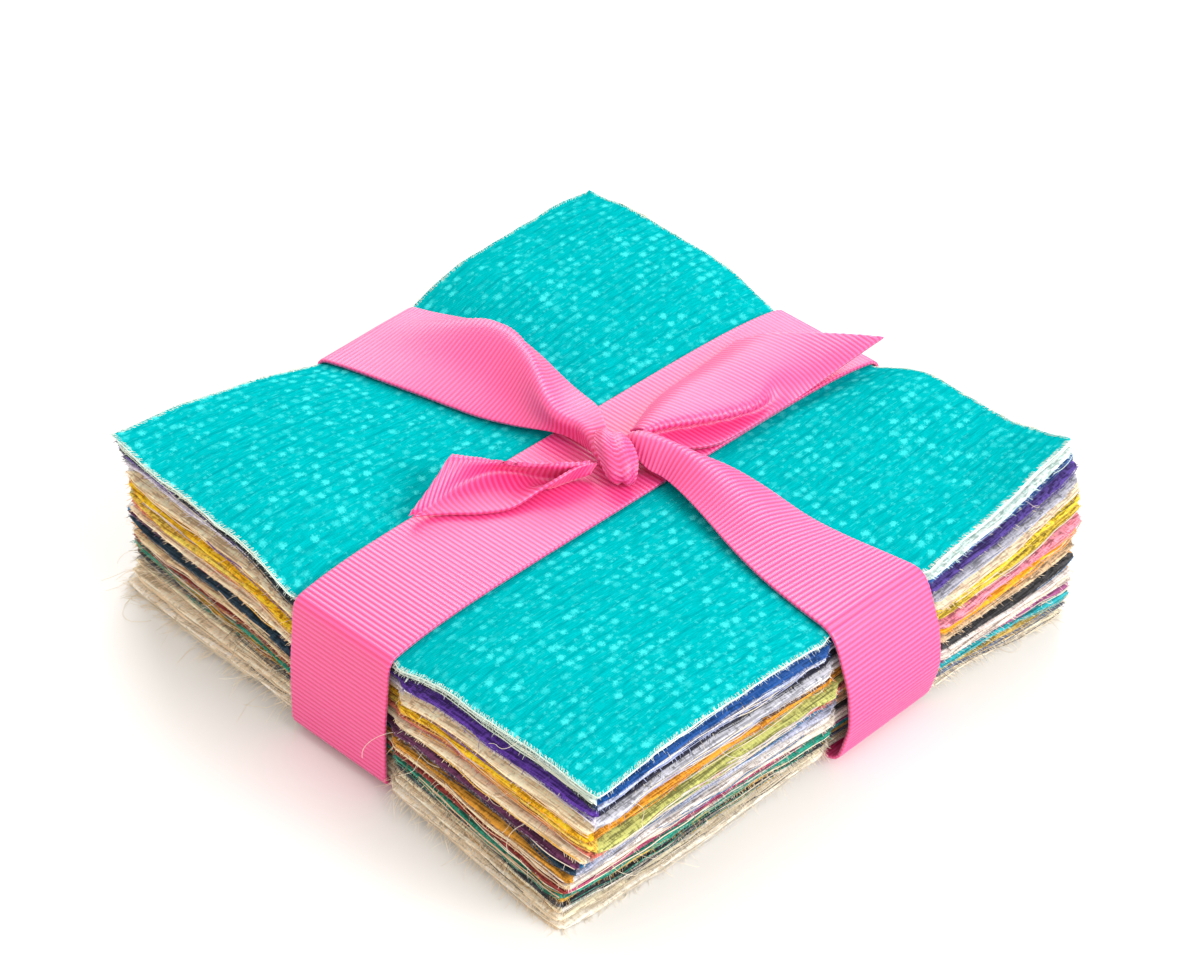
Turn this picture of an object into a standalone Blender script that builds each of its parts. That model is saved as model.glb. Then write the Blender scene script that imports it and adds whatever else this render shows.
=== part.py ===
"""Charm pack: a stack of equal cloth squares tied both ways with one ribbon.

The squares lie one on another, each a little turned and shifted, held down where
the ribbon crosses their edges and loose at their corners, where they fan apart.
The ribbon's middle lies over the top, both of its ends go down two faces, turn
about each other under the stack, come up the other two faces and are tied over
the middle, with two free tails. Sizes are in millimetres and become metres at
the end. +Z is up, the squares' edges run along X and Y, and the origin is on the
surface that the pack rests on.
"""

from math import atan2, cos, hypot, pi, radians, sin

import bmesh
import bpy

# ---------------------------------------------------------------- driving sizes
MM = 0.001
SQUARE = 127.0  # cut size of each square, 5 inches
HALF = SQUARE / 2
SHEET = 1.0  # thickness of a square with its nap and loose yarns
GAP = 0.3  # air between two squares where the ribbon presses them
CORNER_ROUND = 0.9  # how far the frayed corners fall short of the cut corner

RIBBON_WIDTH = 25.0
RIBBON_THICK = 1.0
UNDER_LIFT = 2.6  # the lowest square over the surface, where the ribbon passes below
CROWN = 2.5  # how much higher the top is in the middle than at the ribbon's edges
CROWN_POWER = 6.0
CORNER_GAP_SHARE = 0.2  # part of the right corner's loft that is one open gap
CORNER_GAP_ABOVE = 8  # squares below that gap

# The ribbon's two runs, seen from above: a point on the run, and its slope.
ALONG_Y_AT, ALONG_Y_SLOPE = 1.4, 0.0177
ALONG_X_AT, ALONG_X_SLOPE = 4.0, 0.0653

# Squares from the top down: how each is turned (degrees) and shifted (mm).
# columns: name, turn, shift_x, shift_y, colour (red, green, blue)
SQUARES = (
    ("square_01", 0.0, 0.0, 0.0, (0.00, 0.62, 0.62)),
    ("square_02", -0.8, 0.4, 0.2, (0.62, 0.80, 0.76)),
    ("square_03", -0.9, 0.3, 0.7, (0.05, 0.16, 0.50)),
    ("square_04", -1.1, 0.9, 1.0, (0.22, 0.14, 0.42)),
    ("square_05", -1.5, 1.2, 0.8, (0.60, 0.60, 0.62)),
    ("square_06", -1.8, 1.4, 1.1, (0.72, 0.56, 0.40)),
    ("square_07", -2.1, 1.9, 0.9, (0.85, 0.55, 0.08)),
    ("square_08", -1.9, 2.6, 0.4, (0.66, 0.70, 0.32)),
    ("square_09", -2.1, 3.0, 0.2, (0.75, 0.35, 0.33)),
    ("square_10", -2.5, 2.4, -0.3, (0.80, 0.76, 0.62)),
    ("square_11", -2.8, 2.0, -0.9, (0.30, 0.14, 0.22)),
    ("square_12", -3.5, 2.2, -0.5, (0.10, 0.20, 0.26)),
    ("square_13", -3.9, 2.4, -0.6, (0.62, 0.46, 0.22)),
    ("square_14", -4.2, 2.6, -0.8, (0.82, 0.74, 0.64)),
    ("square_15", -4.4, 2.4, -0.7, (0.55, 0.16, 0.12)),
    ("square_16", -4.7, 1.9, -0.3, (0.08, 0.42, 0.36)),
    ("square_17", -4.8, 1.6, 0.0, (0.46, 0.40, 0.20)),
    ("square_18", -4.9, 1.2, 0.4, (0.26, 0.27, 0.30)),
    ("square_19", -4.8, 0.9, 0.2, (0.60, 0.59, 0.58)),
    ("square_20", -4.4, 0.7, -0.4, (0.62, 0.52, 0.40)),
    ("square_21", -3.8, 0.5, -1.0, (0.80, 0.74, 0.66)),
)
COUNT = len(SQUARES)

# The top's height over its lowest edge, along the free part of each edge, from
# the ribbon (start) to the corner. x_side and y_side say which quarter of the
# pack; "x" edges are the ones at the far end of X, so they run along Y.
# columns: x_side, y_side, edge, start, quarter, half, three_quarters, corner
EDGE_LOFT = (
    (-1, -1, "x", 0.0, 3.7, 6.7, 9.0, 10.2),
    (-1, -1, "y", 0.0, 5.0, 6.8, 7.9, 10.2),
    (-1, 1, "x", 0.0, 4.1, 4.8, 5.2, 4.9),
    (-1, 1, "y", 0.0, 4.4, 5.4, 6.0, 4.9),
    (1, 1, "x", 0.0, 1.8, 3.1, 6.0, 8.3),
    (1, 1, "y", 0.0, 5.0, 4.7, 4.9, 8.3),
    (1, -1, "x", 0.0, 1.5, 2.4, 2.5, 1.2),
    (1, -1, "y", 0.0, 2.5, 2.2, 2.0, 1.2),
)

# Free tails: the two selvages of each, from the knot outwards, and how far the
# cloth between them bows down (a trough). The last row is the slanting cut.
# columns: left x, y, z, right x, y, z, bow
TAIL_FAR = (
    (-0.5, 7.0, 35.6, 6.0, 5.0, 35.6, 0.6),
    (0.4, 13.0, 37.6, 10.6, 11.5, 35.0, 1.6),
    (0.8, 21.0, 39.4, 13.2, 20.0, 34.5, 2.0),
    (0.6, 30.0, 40.4, 14.2, 30.0, 34.4, 2.0),
    (1.2, 37.5, 40.6, 14.8, 40.0, 34.6, 1.6),
    (7.4, 47.0, 39.0, 15.4, 51.0, 35.0, 0.8),
    (14.6, 61.5, 36.6, 16.2, 63.5, 35.8, 0.1),
)
TAIL_NEAR = (
    (-3.0, 2.6, 36.0, 3.5, 0.0, 35.2, 0.5),
    (-6.0, -4.0, 37.6, 2.6, -7.5, 34.6, 1.5),
    (-9.0, -11.0, 38.6, 1.0, -15.5, 34.4, 2.0),
    (-11.6, -17.0, 38.8, -2.4, -24.5, 34.4, 2.0),
    (-13.6, -22.5, 38.8, -11.6, -35.5, 34.8, 1.2),
)

# The knot's wraps: each is a fat band bent over the crossing.
# columns: centre x, y, z, radius along, radius up, band width, band thickness, turn
KNOT_WRAPS = (
    (1.6, 3.6, 34.7, 5.6, 4.6, 6.4, 2.6, 62.0),
    (-1.4, 5.4, 34.6, 4.4, 3.6, 6.0, 2.4, 28.0),
)
KNOT_CORE = (1.0, 4.4, 35.0, 5.4, 5.2, 3.2)  # centre x, y, z, radius x, y, z
KNOT_FLOOR = 32.7  # the knot is flat below, just over the cloth

UNDER_TURN = (1.5, 4.1, 12.0, 1.9)  # centre x, y, radius, height of the turn below

RIBBON_COLOUR = (0.95, 0.16, 0.40)


# ------------------------------------------------------------------- the stack
def smooth(t):
    t = min(1.0, max(0.0, t))
    return t * t * (3 - 2 * t)


def profile(heights, t):
    """A smooth curve through equally spaced heights, at t from 0 to 1."""
    last = len(heights) - 1
    place = min(1.0, max(0.0, t)) * last
    i = min(last - 1, int(place))
    f = place - i
    before = heights[max(0, i - 1)]
    a, b = heights[i], heights[i + 1]
    after = heights[min(last, i + 2)]
    slope_a, slope_b = (b - before) / 2, (after - a) / 2
    if i == 0:
        slope_a = b - a
    if i == last - 1:
        slope_b = b - a
    f2, f3 = f * f, f * f * f
    return (
        a * (2 * f3 - 3 * f2 + 1)
        + slope_a * (f3 - 2 * f2 + f)
        + b * (3 * f2 - 2 * f3)
        + slope_b * (f3 - f2)
    )


LOFT = {(row[0], row[1], row[2]): row[3:] for row in EDGE_LOFT}


def run_x(y):
    """Middle of the ribbon's run along Y."""
    return ALONG_Y_AT + ALONG_Y_SLOPE * y


def run_y(x):
    """Middle of the ribbon's run along X."""
    return ALONG_X_AT + ALONG_X_SLOPE * x


def free_share(place, middle):
    """0 under the ribbon, 1 at the edge of the pack, and which side it is."""
    side = 1 if place > middle else -1
    held = RIBBON_WIDTH / 2 + 1.0
    room = HALF - side * middle - held
    return side, min(1.1, max(0.0, (abs(place - middle) - held) / room))


def crown(t):
    return CROWN * (1 - min(1.0, abs(t)) ** CROWN_POWER)


def loft(x, y):
    """How much air the whole stack holds at a point, and how far into its corner."""
    side_x, a = free_share(x, run_x(y))
    side_y, b = free_share(y, run_y(x))
    a, b = min(a, 1.0), min(b, 1.0)
    wa, wb = smooth(a), smooth(b)
    x_edge = LOFT[(side_x, side_y, "x")]
    y_edge = LOFT[(side_x, side_y, "y")]
    beside_y_run = crown(y / HALF)
    beside_x_run = crown(x / HALF)
    corner = x_edge[-1]
    height = (
        (1 - wa) * beside_y_run
        + wa * profile(x_edge, b)
        + (1 - wb) * beside_x_run
        + wb * profile(y_edge, a)
        - (1 - wa) * (1 - wb) * CROWN
        - wa * wb * corner
    )
    return max(0.0, height), side_x, side_y, wa * wb


def under(x, y):
    """Height of the lowest square: lifted by the ribbon, down at the corners."""
    _, a = free_share(x, run_x(y))
    _, b = free_share(y, run_y(x))
    droop = smooth(min(a, 1.0) * 1.05) * smooth(min(b, 1.0) * 1.05)
    return UNDER_LIFT * (1 - droop)


def square_under_side(level, x, y):
    """Height of the under side of the square at this level, counted from below."""
    air, side_x, side_y, into_corner = loft(x, y)
    low = under(x, y)
    # Where the lowest square droops, the whole height over it grows by as much.
    air += UNDER_LIFT - low
    share = level / (COUNT - 1)
    if (side_x, side_y) == (1, 1):
        open_share = CORNER_GAP_SHARE * into_corner
        above = 1.0 if level >= CORNER_GAP_ABOVE else 0.0
        share = (1 - open_share) * share + open_share * above
    return low + level * (SHEET + GAP) + air * share


def place_on_square(row, u, v):
    """From a square's own sides to the pack: turned, then shifted."""
    turn = radians(row[1])
    return (
        u * cos(turn) - v * sin(turn) + row[2],
        u * sin(turn) + v * cos(turn) + row[3],
    )


STATIONS = (-63.5, -47.0, -30.5, -14.0, 0.0, 14.0, 30.5, 47.0, 63.5)


def place_station(row, u, v):
    """A station inside a square or on its edge, slid along to follow the ribbon."""
    lean = sin(radians(row[1]))
    along_u = (run_x(v) - row[2] + v * lean) * (1 - (u / HALF) ** 2)
    along_v = (run_y(u) - row[3] - u * lean) * (1 - (v / HALF) ** 2)
    return place_on_square(row, u + along_u, v + along_v)


def finish(bm, name, colour, roughness, smooth_faces=True):
    bmesh.ops.recalc_face_normals(bm, faces=bm.faces)
    for vert in bm.verts:
        vert.co *= MM
    mesh = bpy.data.meshes.new(name)
    bm.to_mesh(mesh)
    bm.free()
    if smooth_faces:
        mesh.shade_smooth()
        mesh.set_sharp_from_angle(angle=radians(40))
    obj = bpy.data.objects.new(name, mesh)
    bpy.context.scene.collection.objects.link(obj)
    material = bpy.data.materials.new(name)
    material.use_nodes = True
    shader = material.node_tree.nodes["Principled BSDF"]
    shader.inputs["Base Color"].default_value = (*colour, 1)
    shader.inputs["Roughness"].default_value = roughness
    shader.inputs["Metallic"].default_value = 0.0
    mesh.materials.append(material)
    return obj


def make_square(number, row):
    """One cut square, as a grid laid on the stack's shape and thickened upwards."""
    level = COUNT - 1 - number
    cells = len(STATIONS) - 1
    bm = bmesh.new()
    bmesh.ops.create_grid(bm, x_segments=cells, y_segments=cells, size=1.0)
    for vert in bm.verts:
        i = round((vert.co.x + 1) / 2 * cells)
        j = round((vert.co.y + 1) / 2 * cells)
        u, v = STATIONS[i], STATIONS[j]
        if i in (0, cells) and j in (0, cells):
            u -= CORNER_ROUND * (1 if u > 0 else -1)
            v -= CORNER_ROUND * (1 if v > 0 else -1)
        x, y = place_station(row, u, v)
        vert.co = (x, y, square_under_side(level, x, y))
    made = bmesh.ops.extrude_face_region(bm, geom=bm.faces[:], use_keep_orig=True)
    for item in made["geom"]:
        if isinstance(item, bmesh.types.BMVert):
            item.co.z += SHEET
    return finish(bm, row[0], row[4], 0.85)


# ------------------------------------------------------------------ the ribbon
def convex(points):
    """The taut outline round points in a plane, anticlockwise."""
    points = sorted(set(points))

    def half(sequence):
        chain = []
        for p in sequence:
            while len(chain) > 1 and (chain[-1][0] - chain[-2][0]) * (
                p[1] - chain[-2][1]
            ) <= (chain[-1][1] - chain[-2][1]) * (p[0] - chain[-2][0]):
                chain.pop()
            chain.append(p)
        return chain[:-1]

    return half(points) + half(reversed(points))


def outline_round_stack(along_y):
    """Taut outline of the stack's section under one run of the ribbon."""
    points = []
    across = (-RIBBON_WIDTH / 2, -RIBBON_WIDTH / 4, 0, RIBBON_WIDTH / 4, RIBBON_WIDTH / 2)
    steps = 24
    for number, row in enumerate(SQUARES):
        level = COUNT - 1 - number
        for side in (-HALF, HALF):
            for step in range(-30, 31):
                other = step * 1.0
                u, v = (other, side) if along_y else (side, other)
                x, y = place_on_square(row, u, v)
                off = (x - run_x(y)) if along_y else (y - run_y(x))
                if abs(off) > RIBBON_WIDTH / 2 + 0.6:
                    continue
                z = square_under_side(level, x, y)
                points.append((y if along_y else x, z))
                points.append((y if along_y else x, z + SHEET))
    for i in range(steps + 1):
        place = (-1 + 2 * i / steps) * (HALF - 1)
        for off in across:
            x, y = (run_x(place) + off, place) if along_y else (place, run_y(place) + off)
            points.append((place, square_under_side(0, x, y)))
            points.append((place, square_under_side(COUNT - 1, x, y) + SHEET))
    return points


def offset_outline(hull, distance, bend):
    """The hull moved out by a distance, its corners rounded, as even stations."""
    count = len(hull)
    moved = []
    for i in range(count):
        before, here, after = hull[i - 1], hull[i], hull[(i + 1) % count]
        angle_in = atan2(here[1] - before[1], here[0] - before[0]) - pi / 2
        angle_out = atan2(after[1] - here[1], after[0] - here[0]) - pi / 2
        while angle_out < angle_in:
            angle_out += 2 * pi
        parts = max(1, int((angle_out - angle_in) / bend))
        for k in range(parts + 1):
            angle = angle_in + (angle_out - angle_in) * k / parts
            moved.append(
                (here[0] + distance * cos(angle), here[1] + distance * sin(angle))
            )
    return moved


def thin_out(path, shortest):
    """Leaves out stations closer together than a least distance."""
    kept = [path[0]]
    for p in path[1:]:
        if hypot(p[0] - kept[-1][0], p[1] - kept[-1][1]) >= shortest:
            kept.append(p)
    if hypot(kept[0][0] - kept[-1][0], kept[0][1] - kept[-1][1]) < shortest:
        kept.pop()
    return kept


def split_long(path, longest, closed=True):
    """Adds stations so that none are further apart than a length."""
    full = []
    ends = len(path) if closed else len(path) - 1
    for i in range(ends):
        a, b = path[i], path[(i + 1) % len(path)]
        parts = max(1, int(hypot(b[0] - a[0], b[1] - a[1]) / longest + 0.99))
        for k in range(parts):
            full.append(tuple(p + (q - p) * k / parts for p, q in zip(a, b)))
    if not closed:
        full.append(path[-1])
    return full


def ring(bm, sections, closed):
    """Joins sections, each a loop of points in the same order, into a solid."""
    loops = [[bm.verts.new(p) for p in section] for section in sections]
    size = len(loops[0])
    last = len(loops) if closed else len(loops) - 1
    for i in range(last):
        a, b = loops[i], loops[(i + 1) % len(loops)]
        for j in range(size):
            bm.faces.new((a[j], a[(j + 1) % size], b[(j + 1) % size], b[j]))
    if not closed:
        bm.faces.new(reversed(loops[0]))
        bm.faces.new(loops[-1])


def width_along_x(x, z):
    """The run along X narrows over the top, where it is gathered into the knot."""
    if z < 31.0:
        return RIBBON_WIDTH
    reach = abs(x - 1.0)
    narrow = 8.5 if x > 1.0 else 12.0
    return narrow + (RIBBON_WIDTH - narrow) * smooth((reach - 5.0) / 50.0)


def run_sections(along_y):
    """Four-cornered sections of the ribbon all the way round the stack."""
    points = outline_round_stack(along_y)
    if not along_y:
        lower = RIBBON_THICK + GAP
        points += [(run_x(0) - 13.0, lower), (run_x(0) + 13.0, lower)]
        points += [(-2.0, 34.0), (4.0, 34.0)]
    hull = convex([(round(p[0], 3), round(p[1], 3)) for p in points])
    hull = thin_out(hull, 0.8)
    inner = split_long(thin_out(offset_outline(hull, GAP, 0.5), 0.25), 16.0)
    count = len(inner)
    sections = []
    for i, (s, z) in enumerate(inner):
        before, after = inner[i - 1], inner[(i + 1) % count]
        angle = atan2(after[1] - before[1], after[0] - before[0]) - pi / 2
        out = (s + RIBBON_THICK * cos(angle), z + RIBBON_THICK * sin(angle))
        half = (RIBBON_WIDTH if along_y else width_along_x(s, z)) / 2
        section = []
        for place, height, side in (
            (s, z, -1),
            (s, z, 1),
            (out[0], out[1], 1),
            (out[0], out[1], -1),
        ):
            if along_y:
                section.append((run_x(place) + side * half, place, height))
            else:
                section.append((place, run_y(place) + side * half, height))
        sections.append(section)
    return sections


def tail_sections(rows, across=4):
    """Sections of a tail: a bowed strip between its two selvages."""
    sections = []
    for row in rows:
        left, right, bow = row[0:3], row[3:6], row[6]
        low, high = [], []
        for j in range(across + 1):
            t = j / across
            sag = bow * 4 * t * (1 - t)
            p = [a + (b - a) * t for a, b in zip(left, right)]
            low.append((p[0], p[1], p[2] - sag - RIBBON_THICK / 2))
            high.append((p[0], p[1], p[2] - sag + RIBBON_THICK / 2))
        sections.append(low + high[::-1])
    return sections


def wrap_sections(row, floor, parts=14):
    """A fat band bent over the crossing, closed on itself as a ring."""
    cx, cy, cz, along, up, width, thick, turn = row
    c, s = cos(radians(turn)), sin(radians(turn))
    sections = []
    for i in range(parts):
        angle = 2 * pi * i / parts
        section = []
        for j in range(8):
            around = 2 * pi * j / 8
            r = 1 + thick / 2 * cos(around) / ((along + up) / 2)
            reach = along * cos(angle) * r
            height = up * sin(angle) * r
            side = width / 2 * sin(around)
            section.append(
                (
                    cx + reach * c - side * s,
                    cy + reach * s + side * c,
                    max(floor, cz + height),
                )
            )
        sections.append(section)
    return sections


def helper(bm, name):
    obj = finish(bm, name, RIBBON_COLOUR, 0.6, smooth_faces=False)
    obj.hide_render = True
    obj.display_type = "WIRE"
    return obj


def make_ribbon():
    """One ribbon: both runs, the turn below, the knot and its two tails."""
    joined = []

    bm = bmesh.new()
    ring(bm, run_sections(along_y=False), closed=True)
    joined.append(helper(bm, "ribbon_run_x"))

    bm = bmesh.new()
    cx, cy, radius, height = UNDER_TURN
    sections = []
    for z, r in ((0.0, radius - 0.9), (0.6, radius), (height, radius - 0.4)):
        section = []
        for i in range(16):
            angle = 2 * pi * (i + 0.5) / 16
            squareness = 1 / max(abs(cos(angle)), abs(sin(angle))) ** 0.55
            section.append(
                (cx + r * squareness * cos(angle), cy + r * squareness * sin(angle), z)
            )
        sections.append(section)
    ring(bm, sections, closed=False)
    joined.append(helper(bm, "ribbon_turn"))

    bm = bmesh.new()
    kx, ky, kz, rx, ry, rz = KNOT_CORE
    bmesh.ops.create_uvsphere(bm, u_segments=14, v_segments=8, radius=1.0)
    for vert in bm.verts:
        x, y, z = vert.co
        vert.co = (kx + rx * x, ky + ry * y, max(KNOT_FLOOR, kz + rz * z))
    joined.append(helper(bm, "ribbon_knot"))
    for number, row in enumerate(KNOT_WRAPS):
        bm = bmesh.new()
        ring(bm, wrap_sections(row, KNOT_FLOOR + 0.2 * (number + 1)), closed=True)
        joined.append(helper(bm, f"ribbon_wrap_{number + 1}"))
    for name, rows in (("ribbon_tail_far", TAIL_FAR), ("ribbon_tail_near", TAIL_NEAR)):
        bm = bmesh.new()
        ring(bm, tail_sections(rows), closed=False)
        joined.append(helper(bm, name))

    bm = bmesh.new()
    ring(bm, run_sections(along_y=True), closed=True)
    ribbon = finish(bm, "ribbon", RIBBON_COLOUR, 0.6)
    for obj in joined:
        union = ribbon.modifiers.new(obj.name, "BOOLEAN")
        union.operation = "UNION"
        union.object = obj
        union.show_render = union.show_viewport
    return ribbon


def main():
    for obj in list(bpy.data.objects):
        bpy.data.objects.remove(obj, do_unlink=True)
    pack = bpy.data.objects.new("charm_pack", None)
    bpy.context.scene.collection.objects.link(pack)
    for number, row in enumerate(SQUARES):
        make_square(number, row).parent = pack
    make_ribbon().parent = pack


main()
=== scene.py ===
"""Charm pack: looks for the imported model, in its own frame.

The 21 cloth squares keep the CAD stack's shape, as thin woven sheets with uneven,
frayed edges, and the ribbon is a ribbed grosgrain band with its knot and tails.
Shapes are worked out in millimetres and become metres when a mesh is made.
"""

from math import atan2, cos, hypot, pi, radians, sin

import bmesh
import bpy
import numpy as np
from mathutils import Matrix, Vector


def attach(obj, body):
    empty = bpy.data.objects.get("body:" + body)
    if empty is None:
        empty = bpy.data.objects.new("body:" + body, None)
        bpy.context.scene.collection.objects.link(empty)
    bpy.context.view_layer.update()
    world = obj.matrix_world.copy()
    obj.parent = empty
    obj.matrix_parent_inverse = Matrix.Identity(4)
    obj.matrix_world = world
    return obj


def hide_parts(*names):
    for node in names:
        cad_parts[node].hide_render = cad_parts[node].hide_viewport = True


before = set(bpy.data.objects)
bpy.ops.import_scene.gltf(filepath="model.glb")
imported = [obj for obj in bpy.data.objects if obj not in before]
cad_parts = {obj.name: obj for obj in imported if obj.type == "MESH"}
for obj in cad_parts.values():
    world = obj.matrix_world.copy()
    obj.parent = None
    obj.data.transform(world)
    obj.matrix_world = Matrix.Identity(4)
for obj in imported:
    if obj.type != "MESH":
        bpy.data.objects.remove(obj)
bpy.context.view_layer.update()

MM = 0.001

# ------------------------------------------------- the stack's sizes, as in CAD
HALF = 63.5
SHEET = 1.0
GAP = 0.3
RIBBON_WIDTH = 25.0
RIBBON_THICK = 1.0
UNDER_LIFT = 2.6
CROWN = 2.5
CROWN_POWER = 6.0
CORNER_GAP_SHARE = 0.2
CORNER_GAP_ABOVE = 8
ALONG_Y_AT, ALONG_Y_SLOPE = 1.4, 0.0177
ALONG_X_AT, ALONG_X_SLOPE = 4.0, 0.0653

# Squares from the top down. turn in degrees; shift_x, shift_y in mm; face is the
# cloth's colour, y_edge and x_edge its colour and loose yarns at the Y and X edges,
# and x_far those of the printed cloth at the far part of the +X edge.
# columns: turn, shift_x, shift_y, face, y_edge, x_edge, x_far
SQUARES = (
    (0.0, 0.0, 0.0, (0, 200, 200), (222, 240, 228), (232, 246, 236), (232, 246, 236)),
    (-0.8, 0.4, 0.2, (20, 92, 190), (226, 238, 222), (0, 66, 134), (206, 232, 228)),
    (-0.9, 0.3, 0.7, (44, 66, 74), (26, 36, 44), (178, 186, 226), (22, 78, 144)),
    (-1.1, 0.9, 1.0, (84, 46, 150), (88, 48, 156), (20, 22, 42), (70, 50, 128)),
    (-1.5, 1.2, 0.8, (190, 188, 200), (222, 212, 230), (186, 186, 196), (150, 150, 162)),
    (-1.8, 1.4, 1.1, (205, 158, 104), (255, 220, 174), (214, 204, 200), (232, 200, 170)),
    (-2.1, 1.9, 0.9, (250, 182, 8), (252, 176, 6), (222, 140, 30), (222, 184, 44)),
    (-1.9, 2.6, 0.4, (196, 206, 112), (242, 186, 72), (170, 172, 96), (200, 172, 54)),
    (-2.1, 3.0, 0.2, (222, 132, 118), (206, 108, 92), (208, 108, 100), (240, 132, 152)),
    (-2.5, 2.4, -0.3, (232, 222, 190), (250, 220, 178), (216, 204, 194), (240, 156, 24)),
    (-2.8, 2.0, -0.9, (98, 48, 84), (92, 36, 78), (24, 108, 160), (186, 146, 96)),
    (-3.5, 2.2, -0.5, (40, 74, 88), (18, 50, 70), (170, 174, 196), (196, 168, 134)),
    (-3.9, 2.4, -0.6, (206, 146, 50), (204, 138, 34), (220, 206, 200), (52, 52, 56)),
    (-4.2, 2.6, -0.8, (228, 196, 164), (236, 196, 156), (214, 198, 184), (228, 206, 198)),
    (-4.4, 2.4, -0.7, (150, 44, 40), (138, 44, 40), (160, 60, 96), (222, 198, 188)),
    (-4.7, 1.9, -0.3, (58, 154, 132), (34, 138, 112), (26, 142, 120), (146, 74, 124)),
    (-4.8, 1.6, 0.0, (196, 156, 60), (188, 140, 48), (202, 158, 62), (30, 164, 172)),
    (-4.9, 1.2, 0.4, (66, 68, 74), (62, 62, 70), (44, 44, 52), (184, 152, 72)),
    (-4.8, 0.9, 0.2, (170, 160, 146), (242, 210, 172), (204, 196, 186), (88, 98, 122)),
    (-4.4, 0.7, -0.4, (228, 210, 178), (255, 228, 190), (214, 196, 168), (210, 192, 164)),
    (-3.8, 0.5, -1.0, (238, 224, 200), (255, 234, 202), (230, 216, 194), (228, 214, 192)),
)
# How far each edge that shows stands out (reach) and hangs down (droop), in mm, in
# its two parts: front_left and front_right of the ribbon on the -Y side, right_near
# and right_far of it on the +X side.
# columns: front_left reach, droop, front_right reach, droop,
#          right_near reach, droop, right_far reach, droop
EDGES = (
    (0.0, 0.3, 0.0, 0.2, 0.0, 0.2, 0.0, 0.3),
    (-0.3, 0.1, -0.7, 0.0, 0.8, 0.6, 0.1, 0.1),
    (-0.1, 0.3, -1.0, 0.0, 0.9, 0.4, -0.4, 0.0),
    (-0.6, 0.0, 0.5, 0.4, 0.4, 0.2, 0.1, 0.1),
    (-1.1, 0.0, -0.5, 0.0, 0.8, 0.7, 0.4, 0.4),
    (0.6, 0.4, 0.9, 0.8, 0.0, 0.1, 1.1, 1.2),
    (1.1, 1.2, 1.2, 1.0, 0.5, 0.3, 0.6, 0.4),
    (1.0, 0.6, 0.5, 0.2, 1.3, 1.0, 0.3, 0.1),
    (0.3, 0.0, 0.1, 0.0, 0.2, 0.1, 0.8, 0.4),
    (0.5, 0.4, 0.5, 0.2, 0.3, 0.1, 1.0, 0.7),
    (-0.8, 0.0, 0.3, 0.1, -0.1, 0.0, 0.4, 0.3),
    (0.7, 0.5, 0.1, 0.0, 0.3, 0.1, 0.4, 0.3),
    (-0.2, 0.0, 0.7, 0.4, 0.5, 0.2, 0.7, 0.5),
    (0.4, 0.2, 0.1, 0.0, 0.3, 0.1, 0.2, 0.3),
    (0.2, 0.0, 0.3, 0.1, -0.1, 0.0, 0.2, 0.1),
    (0.4, 0.1, 0.5, 0.2, 0.4, 0.1, -0.1, 0.0),
    (0.1, 0.0, 0.1, 0.0, 0.0, 0.0, 0.4, 0.2),
    (0.2, 0.0, 0.3, 0.1, 0.4, 0.1, 0.1, 0.0),
    (0.4, 0.0, 0.2, 0.0, 0.1, 0.0, 0.3, 0.1),
    (0.7, 0.1, 0.5, 0.1, 0.4, 0.1, 0.3, 0.1),
    (1.0, 0.1, 0.8, 0.1, 0.6, 0.1, 0.5, 0.1),
)
COUNT = len(SQUARES)

# columns: x_side, y_side, edge, start, quarter, half, three_quarters, corner
EDGE_LOFT = (
    (-1, -1, "x", 0.0, 3.7, 6.7, 9.0, 10.2),
    (-1, -1, "y", 0.0, 5.0, 6.8, 7.9, 10.2),
    (-1, 1, "x", 0.0, 4.1, 4.8, 5.2, 4.9),
    (-1, 1, "y", 0.0, 4.4, 5.4, 6.0, 4.9),
    (1, 1, "x", 0.0, 1.8, 3.1, 6.0, 8.3),
    (1, 1, "y", 0.0, 5.0, 4.7, 4.9, 8.3),
    (1, -1, "x", 0.0, 1.5, 2.4, 2.5, 1.2),
    (1, -1, "y", 0.0, 2.5, 2.2, 2.0, 1.2),
)
QUARTERS = ((-1, -1), (-1, 1), (1, -1), (1, 1))
LOFT = {
    edge: np.array(
        [
            next(r[3:] for r in EDGE_LOFT if r[:2] == quarter and r[2] == edge)
            for quarter in QUARTERS
        ]
    )
    for edge in ("x", "y")
}


# --------------------------------------------------------------- small helpers
def smooth(t):
    t = np.clip(t, 0, 1)
    return t * t * (3 - 2 * t)


def linear(rgb):
    """A colour in 0 to 255 display values, as scene linear values."""
    c = np.array(rgb) / 255
    return tuple(np.where(c <= 0.04045, c / 12.92, ((c + 0.055) / 1.055) ** 2.4))


def wander(s, seed, step, amount):
    """A smooth random curve along s, with a new value every step."""
    values = np.random.default_rng(seed).uniform(-1, 1, 1024)
    place = np.asarray(s) / step
    i = np.floor(place).astype(int)
    f = smooth(place - i)
    return amount * (values[i % 1024] * (1 - f) + values[(i + 1) % 1024] * f)


def catmull(rows, per_span):
    """A smooth curve through rows, with per_span stations between each two."""
    rows = np.array(rows, float)
    ends = np.vstack([2 * rows[0] - rows[1], rows, 2 * rows[-1] - rows[-2]])
    out = []
    f = np.linspace(0, 1, per_span, endpoint=False)[:, None]
    for i in range(len(rows) - 1):
        p0, p1, p2, p3 = ends[i : i + 4]
        out.append(
            0.5
            * (
                2 * p1
                + (p2 - p0) * f
                + (2 * p0 - 5 * p1 + 4 * p2 - p3) * f**2
                + (3 * p1 - p0 - 3 * p2 + p3) * f**3
            )
        )
    out.append(rows[-1:])
    return np.vstack(out)


def unit(v):
    return v / np.maximum(np.linalg.norm(v, axis=-1, keepdims=True), 1e-9)


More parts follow.
